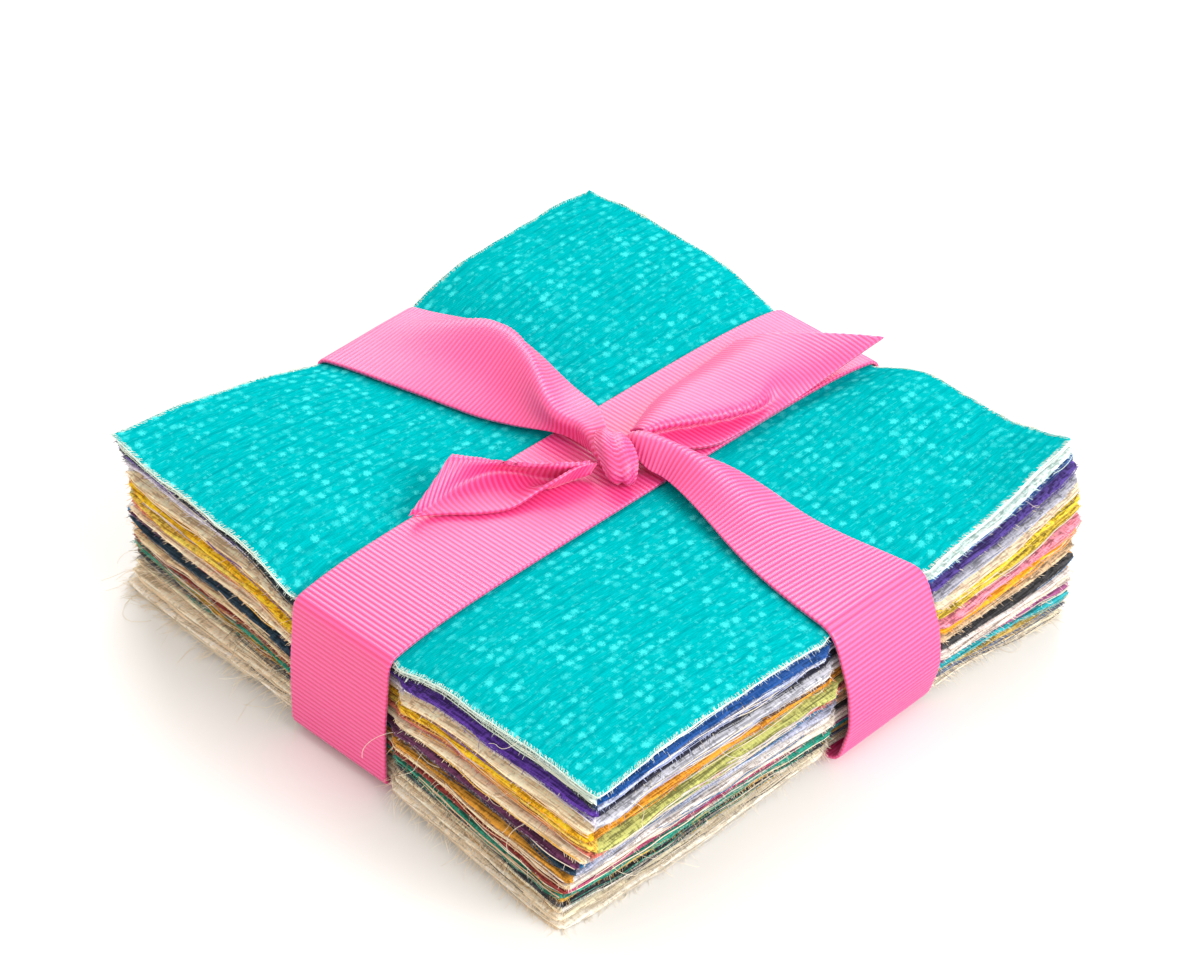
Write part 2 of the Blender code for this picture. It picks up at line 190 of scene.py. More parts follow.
def make_piece(name, verts, tris, materials, material_index=None, flat=False, uv=None):
    """A mesh object from arrays, in mm, in the row frame."""
    mesh = bpy.data.meshes.new(name)
    mesh.vertices.add(len(verts))
    mesh.vertices.foreach_set("co", (np.asarray(verts, float) * MM).ravel())
    mesh.loops.add(len(tris) * 3)
    mesh.loops.foreach_set("vertex_index", np.asarray(tris, np.int32).ravel())
    mesh.polygons.add(len(tris))
    mesh.polygons.foreach_set("loop_start", np.arange(0, len(tris) * 3, 3))
    if material_index is not None:
        mesh.polygons.foreach_set("material_index", material_index.astype(np.int32))
    mesh.polygons.foreach_set("use_smooth", np.full(len(tris), not flat))
    mesh.update(calc_edges=True)
    if uv is not None:
        layer = mesh.uv_layers.new(name="cloth")
        layer.data.foreach_set("uv", uv[np.asarray(tris).ravel()].ravel())
    for material in materials:
        mesh.materials.append(material)
    obj = bpy.data.objects.new(name, mesh)
    bpy.context.scene.collection.objects.link(obj)
    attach(obj, "root")
    return obj


def quads(a, b, c, d):
    """Two triangles for each quad."""
    return np.vstack([np.stack([a, b, c], -1).reshape(-1, 3), np.stack([a, c, d], -1).reshape(-1, 3)])


# ------------------------------------------------------------ the stack's shape
def run_x(y):
    return ALONG_Y_AT + ALONG_Y_SLOPE * y


def run_y(x):
    return ALONG_X_AT + ALONG_X_SLOPE * x


def profile(heights, t):
    place = np.clip(t, 0, 1) * 4
    i = np.minimum(3, place.astype(int))
    f = place - i

    def at(k):
        return np.take_along_axis(heights, np.clip(k, 0, 4)[:, None], 1)[:, 0]

    a, b, before, after = at(i), at(i + 1), at(i - 1), at(i + 2)
    slope_a = np.where(i == 0, b - a, (b - before) / 2)
    slope_b = np.where(i == 3, b - a, (after - a) / 2)
    f2, f3 = f * f, f * f * f
    return (
        a * (2 * f3 - 3 * f2 + 1)
        + slope_a * (f3 - 2 * f2 + f)
        + b * (3 * f2 - 2 * f3)
        + slope_b * (f3 - f2)
    )


def free_share(place, middle):
    side = np.where(place > middle, 1, -1)
    held = RIBBON_WIDTH / 2 + 1.0
    room = HALF - side * middle - held
    return side, np.clip((np.abs(place - middle) - held) / room, 0, 1)


def crown(t):
    return CROWN * (1 - np.minimum(1.0, np.abs(t)) ** CROWN_POWER)


def stack_height(level, x, y):
    """Under side of the square at a level (0 is the lowest) at points x, y."""
    side_x, a = free_share(x, run_x(y))
    side_y, b = free_share(y, run_y(x))
    wa, wb = smooth(a), smooth(b)
    quarter = (side_x > 0) * 2 + (side_y > 0)
    x_edge, y_edge = LOFT["x"][quarter], LOFT["y"][quarter]
    air = (
        (1 - wa) * crown(y / HALF)
        + wa * profile(x_edge, b)
        + (1 - wb) * crown(x / HALF)
        + wb * profile(y_edge, a)
        - (1 - wa) * (1 - wb) * CROWN
        - wa * wb * x_edge[:, -1]
    )
    air = np.maximum(0, air)
    low = UNDER_LIFT * (1 - smooth(a * 1.05) * smooth(b * 1.05))
    air = air + UNDER_LIFT - low
    share = np.full(len(x), level / (COUNT - 1))
    open_share = np.where(quarter == 3, CORNER_GAP_SHARE * wa * wb, 0)
    above = 1.0 if level >= CORNER_GAP_ABOVE else 0.0
    share = (1 - open_share) * share + open_share * above
    return low + level * (SHEET + GAP) + air * share, air


def place_on_square(row, u, v):
    t = radians(row[0])
    return u * cos(t) - v * sin(t) + row[1], u * sin(t) + v * cos(t) + row[2]


SIDE = 2 * HALF
CLOTH = 0.66  # thickness of the cloth that shows
TOP_CLOTH = 0.42  # the top two lie flat and look thinner


def cloth_thickness(number):
    return TOP_CLOTH if number < 2 else CLOTH


def perimeter(s, inset):
    """Own coordinates of the point at s along the edge, a distance inside it."""
    side = np.floor(s / SIDE).astype(int) % 4
    along = (s % SIDE) / SIDE * 2 - 1
    h = HALF - inset
    u = np.choose(side, [along * h, h, -along * h, -h])
    v = np.choose(side, [-h, along * h, h, -along * h])
    return side, along, u, v


FAR_PART = 3  # of the eight half sides: the far part of the +X side


def half_side(s):
    return np.floor(np.asarray(s) / SIDE * 2).astype(int) % 8


NORMALS = np.array([[0, -1], [1, 0], [0, 1], [-1, 0]], float)


def sheet_point(number, s, inset):
    """A point of a square's middle surface, from its place along the edge and in.

    The edge reaches out and droops by the square's own row, wanders along its
    length, and is straight where the ribbon holds it.
    """
    row = SQUARES[number]
    level = COUNT - 1 - number
    s = np.asarray(s, float)
    inset = np.broadcast_to(np.asarray(inset, float), s.shape)
    side, along, u, v = perimeter(s, inset)
    x, y = place_on_square(row, u, v)
    y_side = (side % 2) == 0
    off = np.where(y_side, x - run_x(y), y - run_y(x))
    free = smooth((np.abs(off) - 12.4) / 2.6)
    other = np.random.default_rng(900 + number).uniform(-0.4, 1.0, 4)
    part = half_side(s)
    row_reach = [*EDGES[number][0::2], *other]
    row_droop = [*EDGES[number][1::2], *np.maximum(0, other)]
    reach, droop = np.choose(part, row_reach), np.choose(part, row_droop)
    to_corner = (1 - np.abs(along)) * HALF
    fade = smooth(to_corner / 5.0)
    seed = 40 * number
    out = (
        reach * (0.35 + 0.65 * fade)
        + fade
        * (
            wander(s, seed + 1, 21.0, 0.15 if number == 0 else 0.42)
            + wander(s, seed + 2, 6.0, 0.18)
            + wander(s, seed + 3, 3.0, 0.08)
        )
    ) * free - 0.6 * (1 - free)
    out = out - 0.25 * np.exp(-to_corner / 0.8)
    near = np.exp(-inset / 3.0)
    n = NORMALS[side]
    u2 = u + n[:, 0] * out * near
    v2 = v + n[:, 1] * out * near
    x, y = place_on_square(row, u2, v2)
    z, air = stack_height(level, x, y)
    room = 0.10 + 0.45 * air / (COUNT - 1)
    close = np.exp(-inset / 7.0)
    ripple = (
        wander(s, seed + 4, 11.0, 0.9) + wander(s, seed + 5, 3.7, 0.45)
    ) * room * close * (0.25 + 0.75 * free)
    shared = wander(s, 7, 17.0, 0.5) * wander(np.full(s.shape, level * 1.0), 8, 6.0, 1.0)
    ripple += shared * free * close * min(1.0, level / 4) * (0.0 if number == 0 else 1.0)
    hang = droop * free * np.exp(-((np.maximum(inset, 0) / 2.0) ** 1.5)) * (0.8 + wander(s, seed + 6, 14.0, 0.25))
    thick = cloth_thickness(number)
    z = z + SHEET - thick / 2 + ripple - hang
    return np.stack([x, y, np.maximum(z, thick / 2 + 0.06)], -1)


# ------------------------------------------------------------------- materials
def new_material(name):
    m = bpy.data.materials.new(name)
    m.use_nodes = True
    m.node_tree.nodes.clear()
    return m


class Nodes:
    """Short ways to make and link shader nodes."""

    def __init__(self, material):
        self.tree = material.node_tree

    def add(self, kind, inputs=None, **settings):
        node = self.tree.nodes.new(kind)
        for key, value in settings.items():
            setattr(node, key, value)
        for key, value in (inputs or {}).items():
            socket = node.inputs[key]
            if isinstance(value, bpy.types.NodeSocket):
                self.tree.links.new(value, socket)
            else:
                socket.default_value = value
        return node

    def math(self, operation, a, b=0.0, c=0.0, clamp=False):
        node = self.tree.nodes.new("ShaderNodeMath")
        node.operation = operation
        node.use_clamp = clamp
        for i, value in enumerate((a, b, c)):
            if isinstance(value, bpy.types.NodeSocket):
                self.tree.links.new(value, node.inputs[i])
            else:
                node.inputs[i].default_value = value
        return node.outputs[0]

    def mix(self, factor, a, b, blend="MIX"):
        node = self.tree.nodes.new("ShaderNodeMix")
        node.data_type = "RGBA"
        node.blend_type = blend
        for i, value in ((0, factor), (6, a), (7, b)):
            if isinstance(value, bpy.types.NodeSocket):
                self.tree.links.new(value, node.inputs[i])
            elif i == 0:
                node.inputs[i].default_value = value
            else:
                node.inputs[i].default_value = (*value, 1)
        return node.outputs[2]

    def stretched(self, vector, scale):
        node = self.add("ShaderNodeVectorMath", operation="MULTIPLY")
        self.tree.links.new(vector, node.inputs[0])
        node.inputs[1].default_value = scale
        return node.outputs[0]

    def noise(self, vector, scale, detail=2.0, roughness=0.5):
        node = self.add(
            "ShaderNodeTexNoise",
            {"Vector": vector, "Scale": scale, "Detail": detail, "Roughness": roughness},
        )
        return node.outputs["Fac"]

    def ramp(self, value, low, high, to_low=0.0, to_high=1.0):
        node = self.add(
            "ShaderNodeMapRange",
            {"Value": value, "From Min": low, "From Max": high, "To Min": to_low, "To Max": to_high},
            interpolation_type="SMOOTHSTEP",
        )
        return node.outputs["Result"]

    def shader(self, colour, bump, roughness, **extra):
        node = self.add("ShaderNodeBsdfPrincipled")
        self.tree.links.new(colour, node.inputs["Base Color"])
        if isinstance(roughness, bpy.types.NodeSocket):
            self.tree.links.new(roughness, node.inputs["Roughness"])
        else:
            node.inputs["Roughness"].default_value = roughness
        for key, value in extra.items():
            node.inputs[key.replace("_", " ")].default_value = value
        if bump is not None:
            self.tree.links.new(bump, node.inputs["Normal"])
        out = self.tree.nodes.new("ShaderNodeOutputMaterial")
        self.tree.links.new(node.outputs[0], out.inputs[0])
        return node


def weave_height(k, where, pitch=0.42):
    """Plain weave: over-and-under yarns in X and Y, as a height from 0 to 1."""
    split = k.add("ShaderNodeSeparateXYZ", {0: where})
    turn = 2 * pi / pitch
    sx = k.math("SINE", k.math("MULTIPLY", split.outputs[0], turn / 2))
    sy = k.math("SINE", k.math("MULTIPLY", split.outputs[1], turn / 2))
    cx = k.math("ABSOLUTE", sx)
    cy = k.math("ABSOLUTE", sy)
    return k.math("MULTIPLY", k.math("ADD", cx, cy), 0.5)


def cloth_material(name, colour, light=None, streak=0.5, weave=True, cut=None, clump=0.6, depth=0.5):
    """Plain woven cotton: uneven dye, single yarns a little lighter or darker.

    A cut edge that runs along X or Y shows its yarn ends side by side as well.
    """
    m = new_material(name)
    k = Nodes(m)
    base = linear(colour)
    pale = linear(light) if light else tuple(min(0.9, c * 1.5 + 0.03) for c in base)
    dark = tuple(c * depth for c in base)
    where = k.stretched(k.add("ShaderNodeTexCoord").outputs["Object"], (1000, 1000, 1000))
    cloud = k.noise(where, 0.22, 3.0)
    grain = k.noise(where, 2.6, 2.0, 0.7)
    yarn_x = k.noise(k.stretched(where, (2.4, 0.12, 2.4)), 1.0, 2.0)
    yarn_y = k.noise(k.stretched(where, (0.12, 2.4, 2.4)), 1.0, 2.0)
    c = k.mix(k.ramp(grain, 0.36, 0.56), dark, base)
    speck = k.noise(where, 4.2, 1.0, 0.5)
    c = k.mix(k.math("MULTIPLY", k.ramp(speck, 0.56, 0.66), 0.6), c, pale)
    c = k.mix(k.math("MULTIPLY", k.ramp(yarn_x, 0.5, 0.72), streak), c, pale)
    c = k.mix(k.math("MULTIPLY", k.ramp(yarn_y, 0.5, 0.74), streak), c, pale)
    c = k.mix(k.math("MULTIPLY", k.ramp(cloud, 0.35, 0.7), 0.25), c, dark)
    height = k.math("MULTIPLY", grain, 0.6)
    if cut:
        ends = k.noise(k.stretched(where, (2.6, 0.5, 0.6) if cut == "X" else (0.5, 2.6, 0.6)), 1.0, 2.0, 0.6)
        lines = k.noise(k.stretched(where, (0.10, 2.4, 3.4) if cut == "X" else (2.4, 0.10, 3.4)), 1.0, 1.0)
        clumps = k.noise(k.stretched(where, (1.1, 0.6, 0.9) if cut == "X" else (0.6, 1.1, 0.9)), 1.0, 2.0, 0.7)
        c = k.mix(k.ramp(ends, 0.50, 0.64, 0.0, 0.55), c, pale)
        c = k.mix(k.ramp(ends, 0.36, 0.48, 0.75, 0.0), c, dark)
        c = k.mix(k.ramp(clumps, 0.36, 0.46, clump, 0.0), c, tuple(v * depth * 0.45 for v in base))
        c = k.mix(k.ramp(lines, 0.52, 0.60, 0.0, 0.55), c, pale)
        c = k.mix(k.ramp(lines, 0.38, 0.46, 0.80, 0.0), c, tuple(v * depth * 0.6 for v in base))
        height = k.math("ADD", height, k.math("MULTIPLY", ends, 2.0))
    if weave:
        height = k.math("ADD", height, weave_height(k, where))
    bump = k.add("ShaderNodeBump", {"Height": height, "Strength": 0.5, "Distance": 0.00012})
    k.shader(c, bump.outputs[0], 0.9, Specular_IOR_Level=0.15, Sheen_Weight=0.15, Sheen_Roughness=0.5)
    return m


def yarn_material(name, colour, pale=0.6):
    """Loose cotton yarn: mostly its own colour, some strands paler."""
    m = new_material(name)
    k = Nodes(m)
    base = linear(colour)
    light = tuple(c + (0.9 - c) * 0.55 for c in base)
    where = k.stretched(k.add("ShaderNodeTexCoord").outputs["Object"], (1000, 1000, 1000))
    tone = k.noise(where, 2.2, 2.0, 0.7)
    twist = k.noise(where, 6.0, 1.0)
    c = k.mix(k.math("MULTIPLY", k.ramp(tone, 0.48, 0.62), pale), base, light)
    c = k.mix(k.ramp(twist, 0.3, 0.7, 0.25, 0.0), c, tuple(v * 0.6 for v in base))
    bump = k.add("ShaderNodeBump", {"Height": twist, "Strength": 0.4, "Distance": 0.00005})
    k.shader(c, bump.outputs[0], 0.85, Specular_IOR_Level=0.2, Sheen_Weight=0.2, Sheen_Roughness=0.4)
    return m


def print_material(name):
    """The top square: turquoise, finely streaked, with rows of pale flecks."""
    m = new_material(name)
    k = Nodes(m)
    where = k.stretched(k.add("ShaderNodeTexCoord").outputs["Object"], (1000, 1000, 1000))
    split = k.add("ShaderNodeSeparateXYZ", {0: where})
    x, y = split.outputs[0], split.outputs[1]
    bend = k.math("MULTIPLY", k.math("SUBTRACT", k.noise(where, 0.16, 1.0), 0.5), 0.7)
    x = k.math("ADD", x, bend)
    flat = k.add("ShaderNodeCombineXYZ", {0: x, 1: y, 2: 0.0}).outputs[0]
    row = 2.3
    base, deep, light, pale = (
        linear((0, 152, 155)),
        linear((0, 122, 132)),
        linear((0, 170, 174)),
        linear((66, 212, 214)),
    )
    # soft ridges and furrows along Y, broken up, with painted shade darkening the furrows
    wave = k.math("COSINE", k.math("MULTIPLY", x, 2 * pi / row))
    dashes = k.noise(k.stretched(flat, (0.9, 0.16, 1)), 1.0, 2.0, 0.6)
    fine = k.noise(k.stretched(flat, (3.0, 0.30, 1)), 1.0, 2.0, 0.6)
    c = k.mix(k.ramp(fine, 0.32, 0.68), base, light)
    furrow_shade = k.math("MULTIPLY", k.ramp(wave, 0.0, 1.0), k.ramp(dashes, 0.34, 0.62))
    c = k.mix(k.math("MULTIPLY", furrow_shade, 0.45), c, deep)
    # short thin strokes along the rows
    stroke = k.noise(k.stretched(flat, (2.9, 0.42, 1)), 1.0, 1.0)
    c = k.mix(k.math("MULTIPLY", k.ramp(stroke, 0.62, 0.76), 0.38), c, pale)
    # flecks: one to a cell, in rows, some cells left empty, most of them small
    rough = k.add(
        "ShaderNodeCombineXYZ",
        {
            0: k.math("MULTIPLY", k.math("SUBTRACT", k.noise(where, 2.6, 3.0, 0.8), 0.5), 2.4),
            1: k.math("MULTIPLY", k.math("SUBTRACT", k.noise(k.stretched(where, (-1, 1, 1)), 2.6, 3.0, 0.8), 0.5), 2.4),
            2: 0.0,
        },
    ).outputs[0]
    moved = k.add("ShaderNodeVectorMath", {0: flat, 1: rough}, operation="ADD").outputs[0]
    spots = k.add(
        "ShaderNodeTexVoronoi",
        {"Vector": k.stretched(moved, (1 / row, 1 / 2.7, 1)), "Scale": 1.0, "Randomness": 0.7},
        voronoi_dimensions="2D",
    )
    tint = k.add("ShaderNodeSeparateColor", {0: spots.outputs["Color"]})
    there = k.ramp(tint.outputs[0], 0.25, 0.95)
    size = k.math("MULTIPLY", tint.outputs[1], 0.13)
    fleck = k.math("MULTIPLY", k.ramp(k.math("SUBTRACT", spots.outputs["Distance"], size), 0.04, 0.30, 1.0, 0.0), there)
    c = k.mix(k.math("MULTIPLY", fleck, 0.85), c, pale)
    small = k.add(
        "ShaderNodeTexVoronoi",
        {"Vector": k.stretched(moved, (2 / row, 1 / 1.5, 1)), "Scale": 1.0, "Randomness": 0.9},
        voronoi_dimensions="2D",
    )
    small_tint = k.add("ShaderNodeSeparateColor", {0: small.outputs["Color"]})
    dot = k.math("MULTIPLY", k.ramp(small.outputs["Distance"], 0.05, 0.32, 1.0, 0.0), k.ramp(small_tint.outputs[0], 0.45, 0.9))
    c = k.mix(k.math("MULTIPLY", dot, 0.55), c, pale)
    grain = k.noise(where, 3.2, 2.0, 0.7)
    c = k.mix(k.ramp(grain, 0.3, 0.7, 0.24, 0.0), c, deep)
    height = k.math("ADD", weave_height(k, where), k.math("MULTIPLY", grain, 0.5))
    bump = k.add("ShaderNodeBump", {"Height": height, "Strength": 0.45, "Distance": 0.00010})
    k.shader(c, bump.outputs[0], 0.95, Specular_IOR_Level=0.0)
    return m


def ribbon_material(name):
    """Pink polyester grosgrain: its ribs are in the mesh, its yarns in the bump."""
    m = new_material(name)
    k = Nodes(m)
    uv = k.add("ShaderNodeUVMap", uv_map="cloth").outputs[0]
    where = k.stretched(k.add("ShaderNodeTexCoord").outputs["Object"], (1000, 1000, 1000))
    split = k.add("ShaderNodeSeparateXYZ", {0: uv})
    rib = k.math("COSINE", k.math("MULTIPLY", split.outputs[0], 2 * pi / RIB_PITCH))
    warp = k.math("SINE", k.math("MULTIPLY", split.outputs[1], 2 * pi / 0.36))
    cloud = k.noise(where, 0.12, 2.0)
    # painted shade in the rib troughs and painted highlight on the rib crests
    c = k.mix(k.ramp(rib, -0.6, 0.8), (0.70, 0.020, 0.160), (0.82, 0.082, 0.320))
    c = k.mix(k.math("MULTIPLY", k.ramp(cloud, 0.3, 0.7), 0.10), c, (0.80, 0.016, 0.17))
    height = k.math("ADD", k.math("MULTIPLY", rib, 0.3), k.math("MULTIPLY", warp, 0.2))
    bump = k.add("ShaderNodeBump", {"Height": height, "Strength": 0.3, "Distance": 0.00010})
    k.shader(
        c, bump.outputs[0], 0.42, Specular_IOR_Level=1.0, Sheen_Weight=0.35, Sheen_Roughness=0.3, Sheen_Tint=(1.0, 0.86, 1.0, 1)
    )
    return m


# ------------------------------------------------------------------ the squares
def sheet_mesh(number, stations, insets, under):
    """Closed thin sheet: rings from the edge inwards, above and below."""
    s = (np.arange(4 * stations) + 0.5) / (4 * stations) * 4 * SIDE
    n = len(s)
    thick = cloth_thickness(number) / 2
    # under side, from inside out; the cut edge, a little proud; the upper side
    places = [(inset, -1) for inset in reversed(under)] + [(-0.12, 0)] + [(inset, 1) for inset in insets]
    rings = [sheet_point(number, s, inset) + [0, 0, side * thick] for inset, side in places]
    row = SQUARES[number]
    cx, cy = place_on_square(row, 0.0, 0.0)
    z, _ = stack_height(COUNT - 1 - number, np.array([cx]), np.array([cy]))
    z = z[0] + SHEET - thick
    verts = np.vstack(rings + [[[cx, cy, z - thick]], [[cx, cy, z + thick]]])
    idx = np.arange(n)
    nxt = (idx + 1) % n
    parts, kinds = [], []
    side = np.floor(s / SIDE).astype(int) % 4
    # the rim has its side's yarn, and lower cloths the side's colour a little way in
    rim = 0.1 if number == 0 else 4.0
    for r in range(len(rings) - 1):
        a, b = r * n, (r + 1) * n
        parts.append(quads(a + idx, a + nxt, b + nxt, b + idx))
        near = max(places[r][0], places[r + 1][0]) <= rim
        kind = np.where(side % 2 == 0, 1, 2) if near else np.zeros(n, int)
        kind = np.where((kind == 2) & (half_side(s) == FAR_PART), 3, kind)
        kinds.append(np.tile(kind, 2))
    low, high = len(rings) * n, len(rings) * n + 1
    parts.append(np.stack([nxt, idx, np.full(n, low)], -1))
    last = (len(rings) - 1) * n
    parts.append(np.stack([last + idx, last + nxt, np.full(n, high)], -1))
    kinds += [np.zeros(n, int)] * 2
    return verts, np.vstack(parts), np.concatenate(kinds)


SPECKLED = 4  # the square whose +X edge is grey with black specks
LOWER_RINGS = (0.0, 0.6, 1.3, 2.4, 5.5, 14.0, 34.0)
UNDER_RINGS = (0.0, 0.9, 2.6, 12.0, 34.0)


def tubes(paths, radii, sides=3):
    """Closed tubes along paths (n, m, 3), with radii (n, m)."""
    n, m, _ = paths.shape
    tangent = unit(np.gradient(paths, axis=1))
    guide = np.where(np.abs(tangent[..., 2:3]) > 0.8, [1.0, 0.0, 0.0], [0.0, 0.0, 1.0])
    a = unit(np.cross(tangent, guide))
    b = np.cross(tangent, a)
    angle = 2 * pi * np.arange(sides) / sides
    ring = (
        paths[:, :, None]
        + radii[:, :, None, None]
        * (a[:, :, None] * np.cos(angle)[:, None] + b[:, :, None] * np.sin(angle)[:, None])
    )
    index = np.arange(n * m * sides).reshape(n, m, sides)
    nxt = np.roll(index, -1, axis=2)
    body = quads(index[:, :-1], nxt[:, :-1], nxt[:, 1:], index[:, 1:])
    first, last = index[:, 0], index[:, -1]
    caps = [first[:, ::-1], last] if sides == 3 else []
    return ring.reshape(-1, 3), np.vstack([body] + caps)


YARN_ENDS = 1150  # to a square
FRINGE_ENDS = 2500
RIM_ENDS = 4600  # on the top square
LOOSE_YARNS = 58
FRINGE_FROM = 16  # first of the lowest squares with a longer fringe


def away_from_ribbon(s, number, margin):
    """True where the edge isn't under the ribbon."""
    side, _, u, v = perimeter(s, np.zeros_like(s))
    x, y = place_on_square(SQUARES[number], u, v)
    off = np.where(side % 2 == 0, x - run_x(y), y - run_y(x))
    return np.abs(off) > RIBBON_WIDTH / 2 + margin


def fray(number):
    """Yarn ends along the cut edge, and yarns come loose beside it."""
    rng = np.random.default_rng(3000 + number)
    batches = []

    # yarn ends, short and dense like a brush, a few of them long
    fringe = number >= FRINGE_FROM
    count = RIM_ENDS if number == 0 else FRINGE_ENDS if fringe else YARN_ENDS
    s = np.sort(rng.uniform(0, 4 * SIDE, count))
    s = s[away_from_ribbon(s, number, 0.3)]
    n = len(s)
    side = np.floor(s / SIDE)
    length = np.clip(rng.lognormal(-0.45, 0.36, n), 0.35, 1.3)
    far_out = rng.random(n) < 0.03
    length = np.where(far_out, length * rng.uniform(1.4, 2.4, n), length)
    # the lowest cloths spread a longer fringe on the floor, most at the front left
    if fringe:
        depth = (number - FRINGE_FROM + 1) / (COUNT - FRINGE_FROM)
        spread = np.where(side == 0, 1.0 - 0.5 * (s / SIDE), 0.35)
        length = length + depth * spread * np.abs(rng.normal(0, 2.4, n))
    inset = rng.uniform(0.25, 0.8, n) if number == 0 else np.full(n, 0.45)
    start = sheet_point(number, s, inset)
    edge = sheet_point(number, s, 0.0)
    away = unit(edge - start)
    across = np.stack([-away[:, 1], away[:, 0], np.zeros(n)], -1)
    swing = rng.normal(0, 0.34, n)[:, None]
    lift = rng.normal(-0.16 if number else -0.04, 0.16, n)
    curl = rng.normal(0, 0.10, n)[:, None]
    # on the top square they lie on its face, and elsewhere they fill the cut edge
    start[:, 2] += rng.uniform(0.6, 1.5, n) * TOP_CLOTH / 2 if number == 0 else rng.uniform(-0.8, 0.8, n) * CLOTH / 2
    path = np.empty((n, 3, 3))
    for j, f in enumerate((0.0, 0.55, 1.0)):
        reach = (length * f)[:, None]
        p = start + away * ((inset - 0.1)[:, None] * f + reach * 0.9) + across * (swing * reach + curl * reach * reach)
        p[:, 2] += length * f * lift - 0.08 * (length * f) ** 2
        p[:, 2] = np.maximum(p[:, 2], 0.1)
        path[:, j] = p
    thin = 0.52 if fringe else 0.5 if number == 0 else 0.9
    thin = np.where(far_out, 0.7, 1.0)[:, None] * thin
    radius = rng.uniform(0.06, 0.11, n)[:, None] * np.array([1.0, 0.9, 0.5]) * thin
    own = np.where(half_side(s) == FAR_PART, 5, side.astype(int) % 2)
    kind = np.where(rng.random(n) < (0.4 if fringe else 0.10), 2, own)
    batches.append((path, radius, kind))

    # yarns come loose beside the edge and lying along it
    m = 24
    s0 = rng.uniform(0, 4 * SIDE, LOOSE_YARNS)
    span = rng.uniform(8, 48, LOOSE_YARNS)
    side = np.floor(s0 / SIDE)
    s1 = np.minimum(s0 + span, (side + 1) * SIDE - 0.6)
    for a, b, which in zip(s0, s1, side):
        if b - a < 5:
            continue
        q = np.linspace(a, b, m)
        if not away_from_ribbon(q, number, 0.5).all():
            continue
        mid = sheet_point(number, q, 0.0)
        inner = sheet_point(number, q, 0.8)
        out = unit(mid - inner)
        out[:, 2] *= 0.3
        bow = np.sin(np.linspace(0, pi, m))
        seed = int(rng.integers(1, 1 << 30))
        d = 0.12 + wander(q, seed, 6.0, 0.22) + bow * rng.uniform(0.0, 0.45)
        p = mid + out * d[:, None]
        p[:, 2] += rng.uniform(-0.55, 0.35) + wander(q, seed + 1, 5.0, 0.22) - bow * rng.uniform(-0.2, 0.5)
        p[:, 2] = np.maximum(p[:, 2], 0.12)
        pick = rng.random()
        kind = 2 if pick < 0.16 else int(which) % 2 + (3 if pick > 0.72 else 0)
        if kind == 1 and half_side((a + b) / 2) == FAR_PART:
            kind = 5
        batches.append((p[None], np.full((1, m), rng.uniform(0.06, 0.11)), np.array([kind])))
    return batches, rng


def loose_strands(number, rng):
    """Long curly strands hanging off the edge, more of them lower down."""
    out = []
    count = 2 + number // 3
    m = 22
    for _ in range(count):
        s = rng.uniform(0, 4 * SIDE)
        if not away_from_ribbon(np.array([s]), number, 2.0)[0]:
            continue
        start = sheet_point(number, np.array([s]), 0.6)[0]
        edge = sheet_point(number, np.array([s]), 0.0)[0]
        d = unit(edge - start)
        heading = atan2(d[1], d[0]) + rng.normal(0, 0.9)
        length = rng.uniform(5, 17)
        step = length / (m - 1)
        p = [start]
        turn = rng.normal(0, 0.07)
        z_speed = rng.uniform(-0.35, 0.15)
        for i in range(m - 1):
            turn += rng.normal(0, 0.09)
            turn *= 0.94
            heading += turn
            z_speed = z_speed * 0.93 - 0.035
            q = p[-1] + step * np.array([cos(heading), sin(heading), z_speed])
            q[2] = max(q[2], 0.16)
            p.append(q)
        p = np.array(p)
        limit = HALF + 9.0
        if np.abs(p[:, :2]).max() > limit or not inside_pack_or_out(p):
            continue
        out.append((p[None], np.full((1, m), rng.uniform(0.035, 0.06)), np.array([0])))
    return out


def inside_pack_or_out(path):
    """False for a strand that turns back in under the other squares."""
    reach = np.abs(path[:, :2]).max(axis=1)
    return bool(reach[-1] > reach[0] - 0.5)


def join(batches):
    verts, tris, kinds, at = [], [], [], 0
    for path, radius, kind in batches:
        v, f = tubes(path, radius)
        verts.append(v)
        tris.append(f + at)
        at += len(v)
        n, m = path.shape[:2]
        body = np.repeat(kind, (m - 1) * 3)
        kinds.append(np.concatenate([body, body, kind, kind]))
    return np.vstack(verts), np.vstack(tris), np.concatenate(kinds)


